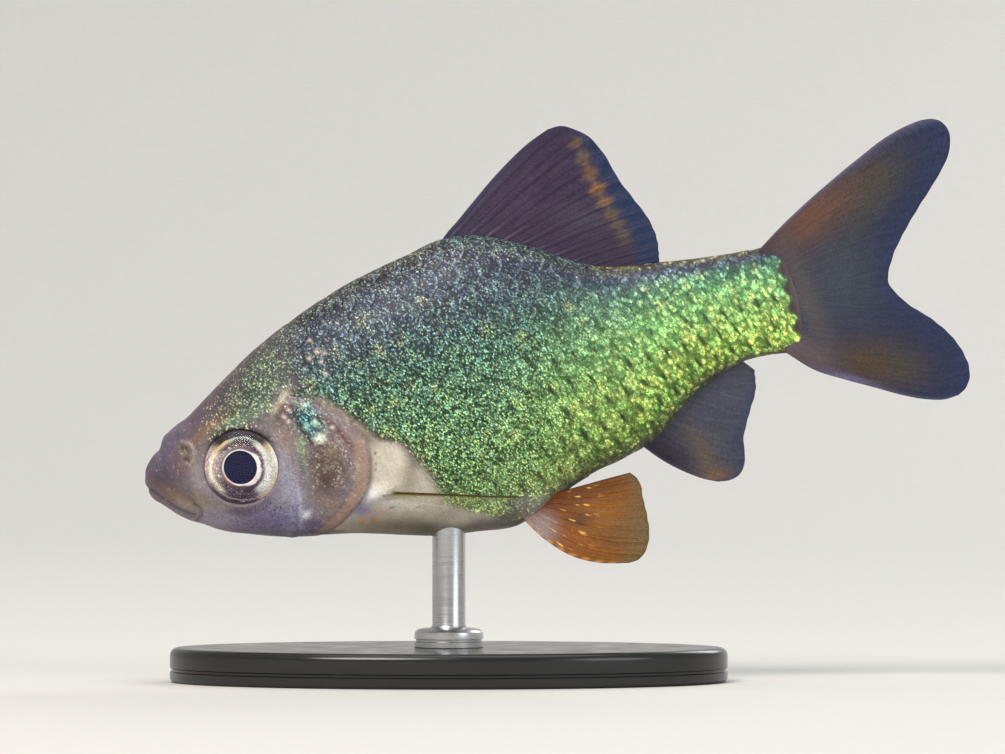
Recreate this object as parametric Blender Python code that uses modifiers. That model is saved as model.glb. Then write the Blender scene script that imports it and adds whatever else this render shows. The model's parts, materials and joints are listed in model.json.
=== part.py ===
"""Tiger barb, green colour form: a still, life-size model on a display stand.

The fish is shaped in its own frame: X runs from the snout to the tail, Y to the fish's right and
Z to its back. It is then pitched head-down and set above an oval base, on one rod.
"""
import math

import bmesh
import bpy
import numpy as np
from mathutils import Matrix, Vector

MM = 0.001

# Driving dimensions of the fish
STANDARD_LENGTH = 50.0 * MM
HEAD_DOWN_PITCH = math.radians(14.8)
PART_GAP = 0.3 * MM
WELD = 0.0005 * MM

# Sections of the body in millimetres: distance from the snout, back, belly, half width
BODY_SECTIONS_MM = (
    (0.4, 0.30, -1.30, 0.90),
    (1.0, 1.70, -2.50, 1.60),
    (2.2, 3.00, -3.75, 2.25),
    (4.0, 3.75, -4.90, 2.85),
    (8.0, 6.10, -6.50, 3.70),
    (12.0, 8.15, -7.50, 4.15),
    (16.0, 9.75, -8.50, 4.40),
    (20.0, 10.80, -9.60, 4.50),
    (26.0, 11.90, -10.40, 4.25),
    (30.5, 10.60, -9.05, 3.75),
    (35.0, 7.70, -7.85, 3.10),
    (38.5, 6.35, -6.50, 2.55),
    (41.0, 6.05, -4.65, 2.15),
    (44.0, 5.55, -3.20, 1.75),
    (47.0, 5.20, -3.00, 1.35),
    (49.6, 5.35, -3.55, 0.85),
)
BODY_RINGS = 40
BODY_RING_POINTS = 28
FLANK_FULLNESS = 1.15
THINNEST = 0.1 * MM

# Cuts that part the body, at the shoulder and in front of the tail, in millimetres (distance, height)
SHOULDER_CUT_MM = ((12.6, 14.0), (13.4, 6.0), (14.0, 1.0), (13.8, -4.0), (12.2, -12.0))
TAIL_CUT_MM = ((36.8, 14.0), (35.9, 3.0), (36.2, -2.0), (37.4, -12.0))

# Gill covers: the outline in millimetres (distance, height), clockwise from the top
GILL_COVER_MM = (
    (12.6, 2.95), (13.7, 2.50), (14.8, 1.55), (16.0, 0.40), (16.7, -1.20), (16.65, -2.95),
    (16.1, -4.40), (15.2, -5.60), (13.6, -6.60), (12.1, -7.20), (9.9, -6.60), (10.3, -5.40),
    (11.1, -3.70), (11.7, -2.20), (12.2, -0.30), (12.1, 1.50),
)
GILL_COVER_PROUD = 0.16 * MM
GILL_COVER_THICK = 0.75 * MM
GILL_COVER_FROM_MIDDLE = 0.7 * MM

# Eyes, set in sockets that face slightly forward and up
EYE_CENTRE_MM = (6.98, -0.95)
EYE_RADIUS = 2.60 * MM
IRIS_RADIUS = 2.30 * MM
PUPIL_RADIUS = 1.20 * MM
EYE_BULGE = 0.55 * MM
EYE_DEPTH = 1.15 * MM
EYE_FORWARD = math.radians(9.5)
EYE_UP = math.radians(3.0)
EYE_STEPS = 22
ORBIT_RIM = 0.20 * MM

# Mouth: a closed, slanting mouth with a rounded lip above and below the slit
MOUTH_TIP_MM = (0.30, -0.72)
MOUTH_CORNER_MM = (3.05, -3.25)
MOUTH_SLIT = 0.22 * MM
UPPER_LIP_RADIUS = 0.56 * MM
LOWER_LIP_RADIUS = 0.52 * MM
LIP_RISE = 0.46 * MM
LIP_SET_BACK = 0.24 * MM
LIP_END_RADIUS = 0.40 * MM
LIP_POINTS = 8

# Nostrils: a front and a rear opening on each side, with a flap between them
NOSTRIL_MM = (3.45, 1.05)
NOSTRIL_SPACING = 0.42 * MM
NOSTRIL_RADIUS = 0.33 * MM
NOSTRIL_FLAP = 0.22 * MM

# Fins
FIN_MEMBRANE_HALF = 0.25 * MM
FIN_RAY_RIDGE = 0.10 * MM
FIN_ROOT_SWELL = 0.12 * MM
FIN_TIP_HALF = 0.13 * MM
PELVIC_SPLAY = math.radians(24.0)
PECTORAL_SPREAD = math.radians(30.0)

# Display stand
BASE_LENGTH = 42.0 * MM
BASE_WIDTH = 26.0 * MM
BASE_HEIGHT = 2.6 * MM
BASE_EDGE = 0.6 * MM
BASE_POINTS = 44
ROD_RADIUS = 1.25 * MM
COLLAR_RADIUS = 2.6 * MM
COLLAR_HEIGHT = 1.2 * MM
ROD_STEPS = 22
ROD_AT_MM = (20.9, -9.75)
BELLY_ABOVE_BASE = 8.6 * MM

COLOURS = {
    "skin_green": ((0.16, 0.30, 0.17), 0.35, 0.45),
    "skin_head": ((0.22, 0.17, 0.17), 0.42, 0.10),
    "gill_cover": ((0.36, 0.24, 0.19), 0.40, 0.20),
    "eye": ((0.05, 0.05, 0.10), 0.08, 0.0),
    "fin_dark": ((0.07, 0.06, 0.09), 0.45, 0.0),
    "fin_slate": ((0.06, 0.07, 0.11), 0.45, 0.0),
    "fin_orange": ((0.32, 0.14, 0.04), 0.42, 0.0),
    "fin_clear": ((0.45, 0.42, 0.33), 0.35, 0.0),
    "stand_base": ((0.02, 0.02, 0.022), 0.25, 0.0),
    "stand_rod": ((0.56, 0.57, 0.58), 0.28, 1.0),
}


def smooth(positions, values, where):
    """Value at a position on a smooth curve through the given values."""
    positions = np.asarray(positions, float)
    values = np.asarray(values, float)
    slopes = np.gradient(values, positions)
    index = int(np.clip(np.searchsorted(positions, where) - 1, 0, len(positions) - 2))
    step = positions[index + 1] - positions[index]
    t = float(np.clip((where - positions[index]) / step, 0.0, 1.0))
    rise = (1 + 2 * t) * (1 - t) ** 2 * values[index] + t * t * (3 - 2 * t) * values[index + 1]
    return rise + step * (t * (1 - t) ** 2 * slopes[index] - t * t * (1 - t) * slopes[index + 1])


def curve_point(points, share):
    """Point at a share, 0 to 1, of the length of a smooth curve through the given points."""
    points = np.asarray(points, float)
    lengths = np.concatenate([[0.0], np.cumsum(np.linalg.norm(np.diff(points, axis=0), axis=1))])
    where = share * lengths[-1]
    return np.array([smooth(lengths, points[:, axis], where) for axis in range(points.shape[1])])


def section(distance):
    """Back, belly and half width of the body at a distance from the snout, in metres."""
    positions = [row[0] for row in BODY_SECTIONS_MM]
    back, belly, half_width = (
        smooth(positions, [row[column] for row in BODY_SECTIONS_MM], distance / MM) * MM
        for column in (1, 2, 3)
    )
    return back, belly, half_width


def body_point(distance, angle, grown=0.0):
    """Point of the body's skin: angle 0 is the back, a quarter turn the flank, a half turn the belly."""
    back, belly, half_width = section(distance)
    middle = 0.5 * (back + belly)
    side = math.copysign(abs(math.sin(angle)) ** FLANK_FULLNESS, math.sin(angle))
    wide = max(half_width + grown, THINNEST)
    tall = max(0.5 * (back - belly) + grown, THINNEST)
    return Vector((distance, wide * side, middle + tall * math.cos(angle)))


def half_width_at(distance, height):
    """How far the skin is from the middle plane at a distance and height."""
    back, belly, half_width = section(distance)
    share = (height - 0.5 * (back + belly)) / (0.5 * (back - belly))
    return half_width * max(0.0, 1.0 - share * share) ** (0.5 * FLANK_FULLNESS)


def link(obj, collection):
    """Put an object in one collection only."""
    for old in list(obj.users_collection):
        old.objects.unlink(obj)
    collection.objects.link(obj)


def object_from(bm, name, collection):
    """Object made from a bmesh, which is freed."""
    mesh = bpy.data.meshes.new(name)
    bm.to_mesh(mesh)
    bm.free()
    obj = bpy.data.objects.new(name, mesh)
    collection.objects.link(obj)
    return obj


def make_cutter(obj):
    """Mark an object as a tool that isn't part of the model."""
    obj.hide_render = True
    obj.display_type = "WIRE"
    link(obj, TOOLS)
    return obj


def remove(obj):
    bpy.data.objects.remove(obj, do_unlink=True)


def settle_mesh(obj):
    """Turn an object's modifiers into plain mesh."""
    graph = bpy.context.evaluated_depsgraph_get()
    mesh = bpy.data.meshes.new_from_object(obj.evaluated_get(graph))
    obj.modifiers.clear()
    obj.data = mesh


def keep_largest(obj):
    """Keep the closed surface with the most volume."""
    bm = bmesh.new()
    bm.from_mesh(obj.data)
    left = set(bm.verts)
    shells = []
    while left:
        shell = {left.pop()}
        edge_of_shell = list(shell)
        while edge_of_shell:
            for edge in edge_of_shell.pop().link_edges:
                for vert in edge.verts:
                    if vert in left:
                        left.discard(vert)
                        shell.add(vert)
                        edge_of_shell.append(vert)
        shells.append(shell)

    def spread(shell):
        points = np.array([vert.co for vert in shell])
        return float(np.prod(np.ptp(points, axis=0)))

    shells.sort(key=spread, reverse=True)
    scraps = [vert for shell in shells[1:] for vert in shell]
    bmesh.ops.delete(bm, geom=scraps, context="VERTS")
    bmesh.ops.remove_doubles(bm, verts=bm.verts, dist=WELD)
    bmesh.ops.dissolve_degenerate(bm, edges=bm.edges, dist=WELD)
    bmesh.ops.triangulate(bm, faces=bm.faces)
    bm.to_mesh(obj.data)
    bm.free()


def combine(obj, others, operation):
    """Unite, cut or intersect an object with closed mesh objects, which are then removed."""
    pieces = bpy.data.collections.new(obj.name + "_pieces")
    bpy.context.scene.collection.children.link(pieces)
    for other in others:
        link(other, pieces)
    step = obj.modifiers.new(operation.lower(), "BOOLEAN")
    step.operation = operation
    step.solver = "EXACT"
    step.operand_type = "COLLECTION"
    step.collection = pieces
    settle_mesh(obj)
    for other in others:
        remove(other)
    bpy.data.collections.remove(pieces)
    keep_largest(obj)


def copy_of(obj, name):
    twin = bpy.data.objects.new(name, obj.data.copy())
    MODEL.objects.link(twin)
    return twin


def mirrored(obj, name):
    """Copy of an object on the fish's other side."""
    twin = copy_of(obj, name)
    bm = bmesh.new()
    bm.from_mesh(twin.data)
    bmesh.ops.transform(bm, matrix=Matrix.Scale(-1.0, 4, (0.0, 1.0, 0.0)), verts=bm.verts)
    bmesh.ops.reverse_faces(bm, faces=bm.faces)
    bm.to_mesh(twin.data)
    bm.free()
    return twin


def loft_body(name, grown=0.0):
    """Closed body from the snout to the end of the tail stalk, grown outward by a distance."""
    bm = bmesh.new()
    first = BODY_SECTIONS_MM[0][0] * MM
    last = BODY_SECTIONS_MM[-1][0] * MM
    rings = []
    for index in range(BODY_RINGS):
        share = index / (BODY_RINGS - 1)
        distance = first + (last - first) * share ** 1.35
        shift = grown * (2.0 * share - 1.0)
        ring = []
        for step in range(BODY_RING_POINTS):
            point = body_point(distance, 2.0 * math.pi * step / BODY_RING_POINTS, grown)
            ring.append(bm.verts.new(point + Vector((shift, 0.0, 0.0))))
        rings.append(ring)
    for ahead, behind in zip(rings, rings[1:]):
        for step in range(BODY_RING_POINTS):
            after = (step + 1) % BODY_RING_POINTS
            bm.faces.new((ahead[step], ahead[after], behind[after], behind[step]))
    bm.faces.new(list(reversed(rings[0])))
    bm.faces.new(rings[-1])
    bmesh.ops.triangulate(bm, faces=bm.faces)
    bmesh.ops.recalc_face_normals(bm, faces=bm.faces)
    return object_from(bm, name, TOOLS)


def ribbon(name, points_mm, thick):
    """Upright curved wall through the whole body, used as a saw cut."""
    bm = bmesh.new()
    steps = 14
    reach = 12.0 * MM
    line = [curve_point(points_mm, step / steps) * MM for step in range(steps + 1)]
    rows = []
    for step, point in enumerate(line):
        along = line[min(step + 1, steps)] - line[max(step - 1, 0)]
        across = np.array([-along[1], along[0]]) / np.linalg.norm(along) * thick / 2
        corners = []
        for offset in (across, -across):
            for side in (-reach, reach):
                corners.append(bm.verts.new((point[0] + offset[0], side, point[1] + offset[1])))
        rows.append([corners[0], corners[1], corners[3], corners[2]])
    for ahead, behind in zip(rows, rows[1:]):
        for corner in range(4):
            after = (corner + 1) % 4
            bm.faces.new((ahead[corner], ahead[after], behind[after], behind[corner]))
    bm.faces.new(rows[0])
    bm.faces.new(rows[-1])
    bmesh.ops.recalc_face_normals(bm, faces=bm.faces)
    return make_cutter(object_from(bm, name, TOOLS))


def outline_prism(name, points_mm, grown, near, far):
    """Outline in the side view, grown by a distance and drawn out from one distance to another in Y."""
    bm = bmesh.new()
    points = np.array(points_mm) * MM
    points = np.vstack([points, points[:1]])
    count = 40
    line = np.array([curve_point(points, step / count) for step in range(count)])
    middle = line.mean(axis=0)
    away = line - middle
    line = line + away / np.linalg.norm(away, axis=1)[:, None] * grown
    walls = [[bm.verts.new((x, y, z)) for x, z in line] for y in (near, far)]
    for step in range(count):
        after = (step + 1) % count
        bm.faces.new((walls[0][step], walls[0][after], walls[1][after], walls[1][step]))
    bm.faces.new(walls[0])
    bm.faces.new(walls[1])
    bmesh.ops.recalc_face_normals(bm, faces=bm.faces)
    return make_cutter(object_from(bm, name, TOOLS))


def ball(name, place, sizes, turn=None, segments=12):
    """Ellipsoid at a place, used as a rounded tool or swelling."""
    bm = bmesh.new()
    bmesh.ops.create_uvsphere(bm, u_segments=segments, v_segments=8, radius=1.0)
    turned = turn if turn is not None else Matrix.Identity(4)
    bmesh.ops.transform(
        bm, matrix=Matrix.Translation(place) @ turned @ Matrix.Diagonal((*sizes, 1.0)), verts=bm.verts
    )
    return make_cutter(object_from(bm, name, TOOLS))


def tube(name, points, radius, end_radius):
    """Tube along points, thinner at its ends."""
    curve = bpy.data.curves.new(name, "CURVE")
    curve.dimensions = "3D"
    curve.bevel_depth = radius
    curve.bevel_resolution = 4
    curve.use_fill_caps = True
    spline = curve.splines.new("POLY")
    spline.points.add(len(points) - 1)
    for index, (target, point) in enumerate(zip(spline.points, points)):
        share = abs(2.0 * index / (len(points) - 1) - 1.0)
        target.co = (*point, 1.0)
        target.radius = 1.0 + (end_radius / radius - 1.0) * share ** 2
    source = bpy.data.objects.new(name + "_curve", curve)
    TOOLS.objects.link(source)
    graph = bpy.context.evaluated_depsgraph_get()
    mesh = bpy.data.meshes.new_from_object(source.evaluated_get(graph))
    remove(source)
    bm = bmesh.new()
    bm.from_mesh(mesh)
    bmesh.ops.remove_doubles(bm, verts=bm.verts, dist=0.0001 * MM)
    bmesh.ops.recalc_face_normals(bm, faces=bm.faces)
    return make_cutter(object_from(bm, name, TOOLS))


def eye_frame(side):
    """Matrix that stands the eye's own Z axis on the head, pointing out of the socket."""
    x, z = (value * MM for value in EYE_CENTRE_MM)
    out = Vector((-math.sin(EYE_FORWARD), side * math.cos(EYE_FORWARD), math.sin(EYE_UP))).normalized()
    turn = out.to_track_quat("Z", "Y").to_matrix().to_4x4()
    return Matrix.Translation((x, side * half_width_at(x, z), z)) @ turn


def make_eye(name):
    """Right eye as a turned shape: cornea and pupil in front, the flattened ball behind."""
    profile = [(0.0, EYE_BULGE)]
    for step in range(1, 4):
        reach = PUPIL_RADIUS * step / 3
        profile.append((reach, EYE_BULGE - 0.10 * MM * (step / 3) ** 2))
    iris_top = EYE_BULGE - 0.20 * MM
    for step in range(5):
        share = step / 4
        reach = PUPIL_RADIUS + (IRIS_RADIUS - PUPIL_RADIUS) * (0.06 + 0.94 * share)
        profile.append((reach, iris_top - 0.22 * MM * share ** 2))
    rim_level = iris_top - 0.34 * MM
    for step in range(6):
        turn = 0.5 * math.pi * step / 5
        profile.append((EYE_RADIUS * math.cos(turn), rim_level - (EYE_DEPTH + rim_level) * math.sin(turn)))
    profile[-1] = (0.0, -EYE_DEPTH)
    bm = bmesh.new()
    verts = [bm.verts.new((reach, 0.0, level)) for reach, level in profile]
    for ahead, behind in zip(verts, verts[1:]):
        bm.edges.new((ahead, behind))
    obj = object_from(bm, name, MODEL)
    turn = obj.modifiers.new("turn", "SCREW")
    turn.steps = EYE_STEPS
    turn.render_steps = EYE_STEPS
    turn.use_merge_vertices = True
    turn.merge_threshold = 0.00001
    settle_mesh(obj)
    obj.data.transform(eye_frame(1.0))
    return obj


def lip_line(rise):
    """Points of one lip, from the right corner of the mouth round the snout to the left corner."""
    points = []
    tip = Vector((MOUTH_TIP_MM[0] * MM, 0.0, MOUTH_TIP_MM[1] * MM))
    corner_x, corner_z = (value * MM for value in MOUTH_CORNER_MM)
    for index in range(2 * LIP_POINTS - 1):
        share = index / (LIP_POINTS - 1) - 1.0
        back = abs(share) ** 1.7
        x = tip.x + (corner_x - tip.x) * back
        z = tip.z + (corner_z - tip.z) * back
        on_skin = max(x, BODY_SECTIONS_MM[0][0] * MM)
        wide = half_width_at(on_skin, z) * math.sin(0.5 * math.pi * min(1.0, abs(share) * 1.6))
        fade = 1.0 - 0.35 * back
        points.append(Vector((x + LIP_SET_BACK, math.copysign(wide * 0.90, share), z + rise * fade)))
    return points


def shape_head(head):
    """Add lips, nostril flaps and orbit rims to the head, then cut its mouth, nostrils and sockets."""
    swellings = [
        tube("upper_lip", lip_line(LIP_RISE), UPPER_LIP_RADIUS, LIP_END_RADIUS),
        tube("lower_lip", lip_line(-LIP_RISE), LOWER_LIP_RADIUS, LIP_END_RADIUS),
    ]
    hollows = []
    nostril_x, nostril_z = (value * MM for value in NOSTRIL_MM)
    for side in (-1.0, 1.0):
        frame = eye_frame(side)
        rim_centre = frame @ Vector((0.0, 0.0, -0.25 * MM))
        turn = frame.to_3x3().to_4x4()
        rim = EYE_RADIUS + PART_GAP + ORBIT_RIM
        swellings.append(ball("orbit", rim_centre, (rim, rim, 0.62 * MM), turn, EYE_STEPS))
        wall = half_width_at(nostril_x, nostril_z)
        flap_place = Vector((nostril_x, side * (wall + 0.02 * MM), nostril_z))
        swellings.append(ball("flap", flap_place, (0.20 * MM, NOSTRIL_FLAP, 0.52 * MM)))
        for offset in (-NOSTRIL_SPACING, NOSTRIL_SPACING):
            x = nostril_x + offset
            place = Vector((x, side * half_width_at(x, nostril_z), nostril_z - 0.3 * offset))
            sizes = (0.8 * NOSTRIL_RADIUS, 0.45 * MM, 1.15 * NOSTRIL_RADIUS)
            hollows.append(ball("nostril", place, sizes))
        bowl = EYE_RADIUS + PART_GAP
        hollows.append(ball("socket", frame @ Vector((0.0, 0.0, 0.1 * MM)),
                            (bowl, bowl, EYE_DEPTH + PART_GAP + 0.1 * MM), turn, EYE_STEPS))
        shaft = bmesh.new()
        bmesh.ops.create_cone(
            shaft, cap_ends=True, segments=EYE_STEPS, radius1=bowl, radius2=bowl * 1.04, depth=2.0 * MM
        )
        bmesh.ops.transform(
            shaft, matrix=frame @ Matrix.Translation((0.0, 0.0, 1.1 * MM)), verts=shaft.verts
        )
        hollows.append(make_cutter(object_from(shaft, "socket_mouth", TOOLS)))
    combine(head, swellings, "UNION")
    tip = np.array(MOUTH_TIP_MM)
    corner = np.array(MOUTH_CORNER_MM)
    before = tip + (tip - corner) * 0.5
    hollows.append(ribbon("mouth_slit", (before, tip, corner), MOUTH_SLIT))
    combine(head, hollows, "DIFFERENCE")


def fin_from_edges(name, root, lead, trail, margin, rays, rows, spread=1.0):
    """Fin between a root line and a margin, with a ridge on both faces along each ray.

    root and margin are functions of a share from the leading to the trailing edge; lead and trail
    are points of the outer edges from the root out. spread sets how the rays share the margin.
    """
    columns = 2 * rays + 1
    grid = np.zeros((columns, rows + 1, 3))
    for column in range(columns):
        u = column / (columns - 1)
        for row in range(rows + 1):
            v = row / rows
            start = root(u)
            end = margin(1.0 - (1.0 - u) ** spread)
            edges = (1 - u) * curve_point(lead, v) + u * curve_point(trail, v)
            ends = (1 - v) * start + v * end
            corners = (1 - u) * ((1 - v) * root(0.0) + v * margin(0.0))
            corners = corners + u * ((1 - v) * root(1.0) + v * margin(1.0))
            grid[column, row] = edges + ends - corners
    across = np.gradient(grid, axis=0)
    outward = np.gradient(grid, axis=1)
    normals = np.cross(across, outward)
    normals = normals / np.linalg.norm(normals, axis=2)[:, :, None]
    bm = bmesh.new()
    faces = []
    for sign in (1.0, -1.0):
        sheet = []
        for column in range(columns):
            line = []
            for row in range(rows + 1):
                v = row / rows
                on_ray = 1.0 if column % 2 == 1 else 0.0
                half = FIN_MEMBRANE_HALF + on_ray * FIN_RAY_RIDGE * (1.0 - 0.6 * v)
                half = half + FIN_ROOT_SWELL * max(0.0, 1.0 - 4.0 * v)
                half = half + (FIN_TIP_HALF - half) * max(0.0, (v - 0.8) / 0.2) ** 2
                line.append(bm.verts.new(grid[column, row] + sign * half * normals[column, row]))
            sheet.append(line)
        faces.append(sheet)
    upper, lower = faces
    for column in range(columns - 1):
        for row in range(rows):
            for sheet in (upper, lower):
                a = sheet[column][row]
                b = sheet[column + 1][row]
                c = sheet[column + 1][row + 1]
                d = sheet[column][row + 1]
                bm.faces.new((a, b, c))
                bm.faces.new((a, c, d))
    rim = [(column, 0) for column in range(columns)]
    rim += [(columns - 1, row) for row in range(1, rows + 1)]
    rim += [(column, rows) for column in range(columns - 2, -1, -1)]
    rim += [(0, row) for row in range(rows - 1, 0, -1)]
    for (c1, r1), (c2, r2) in zip(rim, rim[1:] + rim[:1]):
        bm.faces.new((upper[c1][r1], upper[c2][r2], lower[c2][r2]))
        bm.faces.new((upper[c1][r1], lower[c2][r2], lower[c1][r1]))
    bmesh.ops.recalc_face_normals(bm, faces=bm.faces)
    return object_from(bm, name, MODEL)


def upright(points_mm):
    """Points of the side view, in millimetres, as points of the middle plane in metres."""
    return np.array([(x * MM, 0.0, z * MM) for x, z in points_mm])


def make_dorsal_fin():
    start, end = 26.7 * MM, 39.9 * MM

    def root(u):
        x = start + (end - start) * u
        return np.array([x, 0.0, section(x)[0] + PART_GAP + 0.03 * MM])

    edge = upright(((35.9, 17.75), (36.8, 17.75), (37.8, 17.25), (38.8, 16.30), (39.5, 14.85),
                    (40.1, 12.70), (40.85, 10.90), (41.55, 9.25), (41.75, 7.80), (41.35, 6.55)))
    lead = np.vstack([root(0.0), upright(((28.7, 13.66), (31.55, 15.63), (34.3, 17.16), (35.9, 17.75)))])
    trail = np.vstack([root(1.0), edge[-1]])
    return fin_from_edges("dorsal_fin", root, lead, trail, lambda u: curve_point(edge, u), 11, 8, 1.9)


def make_anal_fin():
    start, end = 36.4 * MM, 45.3 * MM

    def root(u):
        x = start + (end - start) * u
        return np.array([x, 0.0, section(x)[1] - PART_GAP - 0.05 * MM])

    edge = upright(((41.5, -11.20), (42.4, -11.30), (43.2, -11.10), (43.8, -10.30), (44.2, -8.50),
                    (45.1, -6.80), (46.05, -5.10), (46.3, -3.75)))
    lead = np.vstack([root(0.0), upright(((38.0, -8.72), (39.4, -9.95), (40.4, -10.65), (41.5, -11.20)))])
    trail = np.vstack([root(1.0), edge[-1]])
    return fin_from_edges("anal_fin", root, lead, trail, lambda u: curve_point(edge, u), 8, 7, 1.6)


def make_caudal_fin():
    start_x = STANDARD_LENGTH - 0.05 * MM

    def root(u):
        back, belly, _ = section(BODY_SECTIONS_MM[-1][0] * MM)
        return np.array([start_x, 0.0, back + (belly - back) * u])

    edge = upright(((64.25, 11.00), (64.95, 10.20), (65.0, 9.40), (64.4, 7.95), (63.1, 6.55),
                    (61.5, 5.05), (59.9, 3.45), (58.4, 1.60), (57.75, 0.10), (58.5, -1.55),
                    (60.3, -3.60), (61.3, -5.10), (61.9, -6.60), (61.85, -8.40), (61.1, -9.35)))
    lead = np.vstack([root(0.0), upright(((51.0, 6.20), (52.8, 7.20), (55.3, 8.45), (58.0, 9.70),
                                          (60.6, 10.75), (62.9, 11.18), (64.25, 11.00)))])
    trail = np.vstack([root(1.0), upright(((50.7, -4.95), (52.7, -6.20), (54.7, -7.35), (56.7, -8.55),
                                           (59.1, -9.50), (61.1, -9.35)))])
    fork_share = 0.585
    bend = math.log(fork_share) / math.log(0.5)
    return fin_from_edges("caudal_fin", root, lead, trail,
                          lambda u: curve_point(edge, u ** bend), 16, 10)


def make_pelvic_fin():
    """Right pelvic fin, splayed outward from the belly."""
    root_front = body_point(26.3 * MM, math.radians(163.0))
    root_rear = body_point(28.9 * MM, math.radians(163.0))
    drop = Vector((0.0, math.sin(PELVIC_SPLAY), -math.cos(PELVIC_SPLAY)))

    def root(u):
        place = root_front.lerp(root_rear, u) + drop * (PART_GAP + 0.12 * MM)
        return np.array(place)

    def splayed(points_mm):
        top = root_front
        placed = []
        for x, z in points_mm:
            down = top.z - z * MM
            placed.append((x * MM, top.y + down * math.tan(PELVIC_SPLAY), z * MM))
        return np.array(placed)

    edge = splayed(((33.4, -15.25), (34.3, -15.15), (35.0, -14.55), (35.45, -13.60), (35.65, -12.30),
                    (35.7, -10.90), (35.75, -9.60), (35.3, -8.85)))
    lead = np.vstack([root(0.0), splayed(((27.8, -12.05), (29.5, -13.75), (31.2, -14.65), (33.4, -15.25)))])
    trail = np.vstack([root(1.0), edge[-1]])
    return fin_from_edges("pelvic_fin_right", root, lead, trail, lambda u: curve_point(edge, u), 8, 7)


def make_pectoral_fin():
    """Right pectoral fin, held level and swept back, with its hard edge outermost."""
    level_back = Vector((math.cos(HEAD_DOWN_PITCH), 0.0, -math.sin(HEAD_DOWN_PITCH)))
    level_down = Vector((-math.sin(HEAD_DOWN_PITCH), 0.0, -math.cos(HEAD_DOWN_PITCH)))
    base_x, base_z = 17.2 * MM, -5.55 * MM
    skin = half_width_at(base_x, base_z)
    base = Vector((base_x, skin + PART_GAP + 0.22 * MM, base_z))

    def place(back, out, down):
        return base + level_back * back * MM + Vector((0.0, out * MM, 0.0)) + level_down * down * MM

    def root(u):
        return np.array(place(0.1 + 0.75 * u, 0.10 + 0.02 * u, 0.9 * u))

    reach = math.tan(PECTORAL_SPREAD)
    lead = np.array([root(0.0), *(place(x, 0.25 + x * reach * (1.0 - 0.018 * x), 0.02 * x) for x in (2.5, 5.5, 8.5))])
    lead = np.vstack([lead, place(10.2, 0.25 + 10.2 * reach * 0.83, 0.15)])
    edge = np.array([lead[-1], *(place(*spot) for spot in (
        (10.4, 3.9, 0.30), (9.9, 3.0, 0.45), (8.9, 2.2, 0.60), (7.4, 1.55, 0.75), (5.6, 1.05, 0.90)))])
    trail = np.array([root(1.0), place(3.2, 0.75, 0.95), edge[-1]])
    return fin_from_edges("pectoral_fin_right", root, lead, trail, lambda u: curve_point(edge, u), 8, 7)


def make_base(middle_x):
    """Oval display base with softened edges, its underside on the floor."""
    bpy.ops.mesh.primitive_cylinder_add(vertices=BASE_POINTS, radius=0.5, depth=1.0)
    base = bpy.context.object
    base.name = "stand_base"
    link(base, MODEL)
    base.data.transform(
        Matrix.Translation((middle_x, 0.0, BASE_HEIGHT / 2))
        @ Matrix.Diagonal((BASE_LENGTH, BASE_WIDTH, BASE_HEIGHT, 1.0))
    )
    edge = base.modifiers.new("softened_edge", "BEVEL")
    edge.width = BASE_EDGE
    edge.segments = 2
    edge.limit_method = "ANGLE"
    edge.angle_limit = math.radians(40.0)
    settle_mesh(base)
    return base


def make_rod(middle_x, belly_level):
    """Turned rod with a collar at its foot, long enough to be trimmed to the belly."""
    foot = BASE_HEIGHT + PART_GAP
    top = belly_level + 3.0 * MM
    profile = (
        (0.0, top), (ROD_RADIUS, top), (ROD_RADIUS, foot + COLLAR_HEIGHT),
        (COLLAR_RADIUS - 0.35 * MM, foot + COLLAR_HEIGHT), (COLLAR_RADIUS, foot + COLLAR_HEIGHT - 0.35 * MM),
        (COLLAR_RADIUS, foot), (0.0, foot),
    )
    bm = bmesh.new()
    verts = [bm.verts.new((reach, 0.0, level)) for reach, level in profile]
    for ahead, behind in zip(verts, verts[1:]):
        bm.edges.new((ahead, behind))
    rod = object_from(bm, "stand_rod", MODEL)
    turn = rod.modifiers.new("turn", "SCREW")
    turn.steps = ROD_STEPS
    turn.render_steps = ROD_STEPS
    turn.use_merge_vertices = True
    turn.merge_threshold = 0.00001
    settle_mesh(rod)
    rod.data.transform(Matrix.Translation((middle_x, 0.0, 0.0)))
    return rod


def paint(obj, finish):
    """Give an object its own material."""
    colour, roughness, metallic = COLOURS[finish]
    material = bpy.data.materials.new(obj.name)
    material.use_nodes = True
    shader = material.node_tree.nodes["Principled BSDF"]
    shader.inputs["Base Color"].default_value = (*colour, 1.0)
    shader.inputs["Roughness"].default_value = roughness
    shader.inputs["Metallic"].default_value = metallic
    obj.data.materials.clear()
    obj.data.materials.append(material)
    obj.data.shade_smooth()
    obj.data.set_sharp_from_angle(angle=math.radians(40.0))


for stale in list(bpy.data.objects):
    bpy.data.objects.remove(stale, do_unlink=True)

MODEL = bpy.data.collections.new("tiger_barb")
TOOLS = bpy.data.collections.new("cutters")
bpy.context.scene.collection.children.link(MODEL)
bpy.context.scene.collection.children.link(TOOLS)


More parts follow.
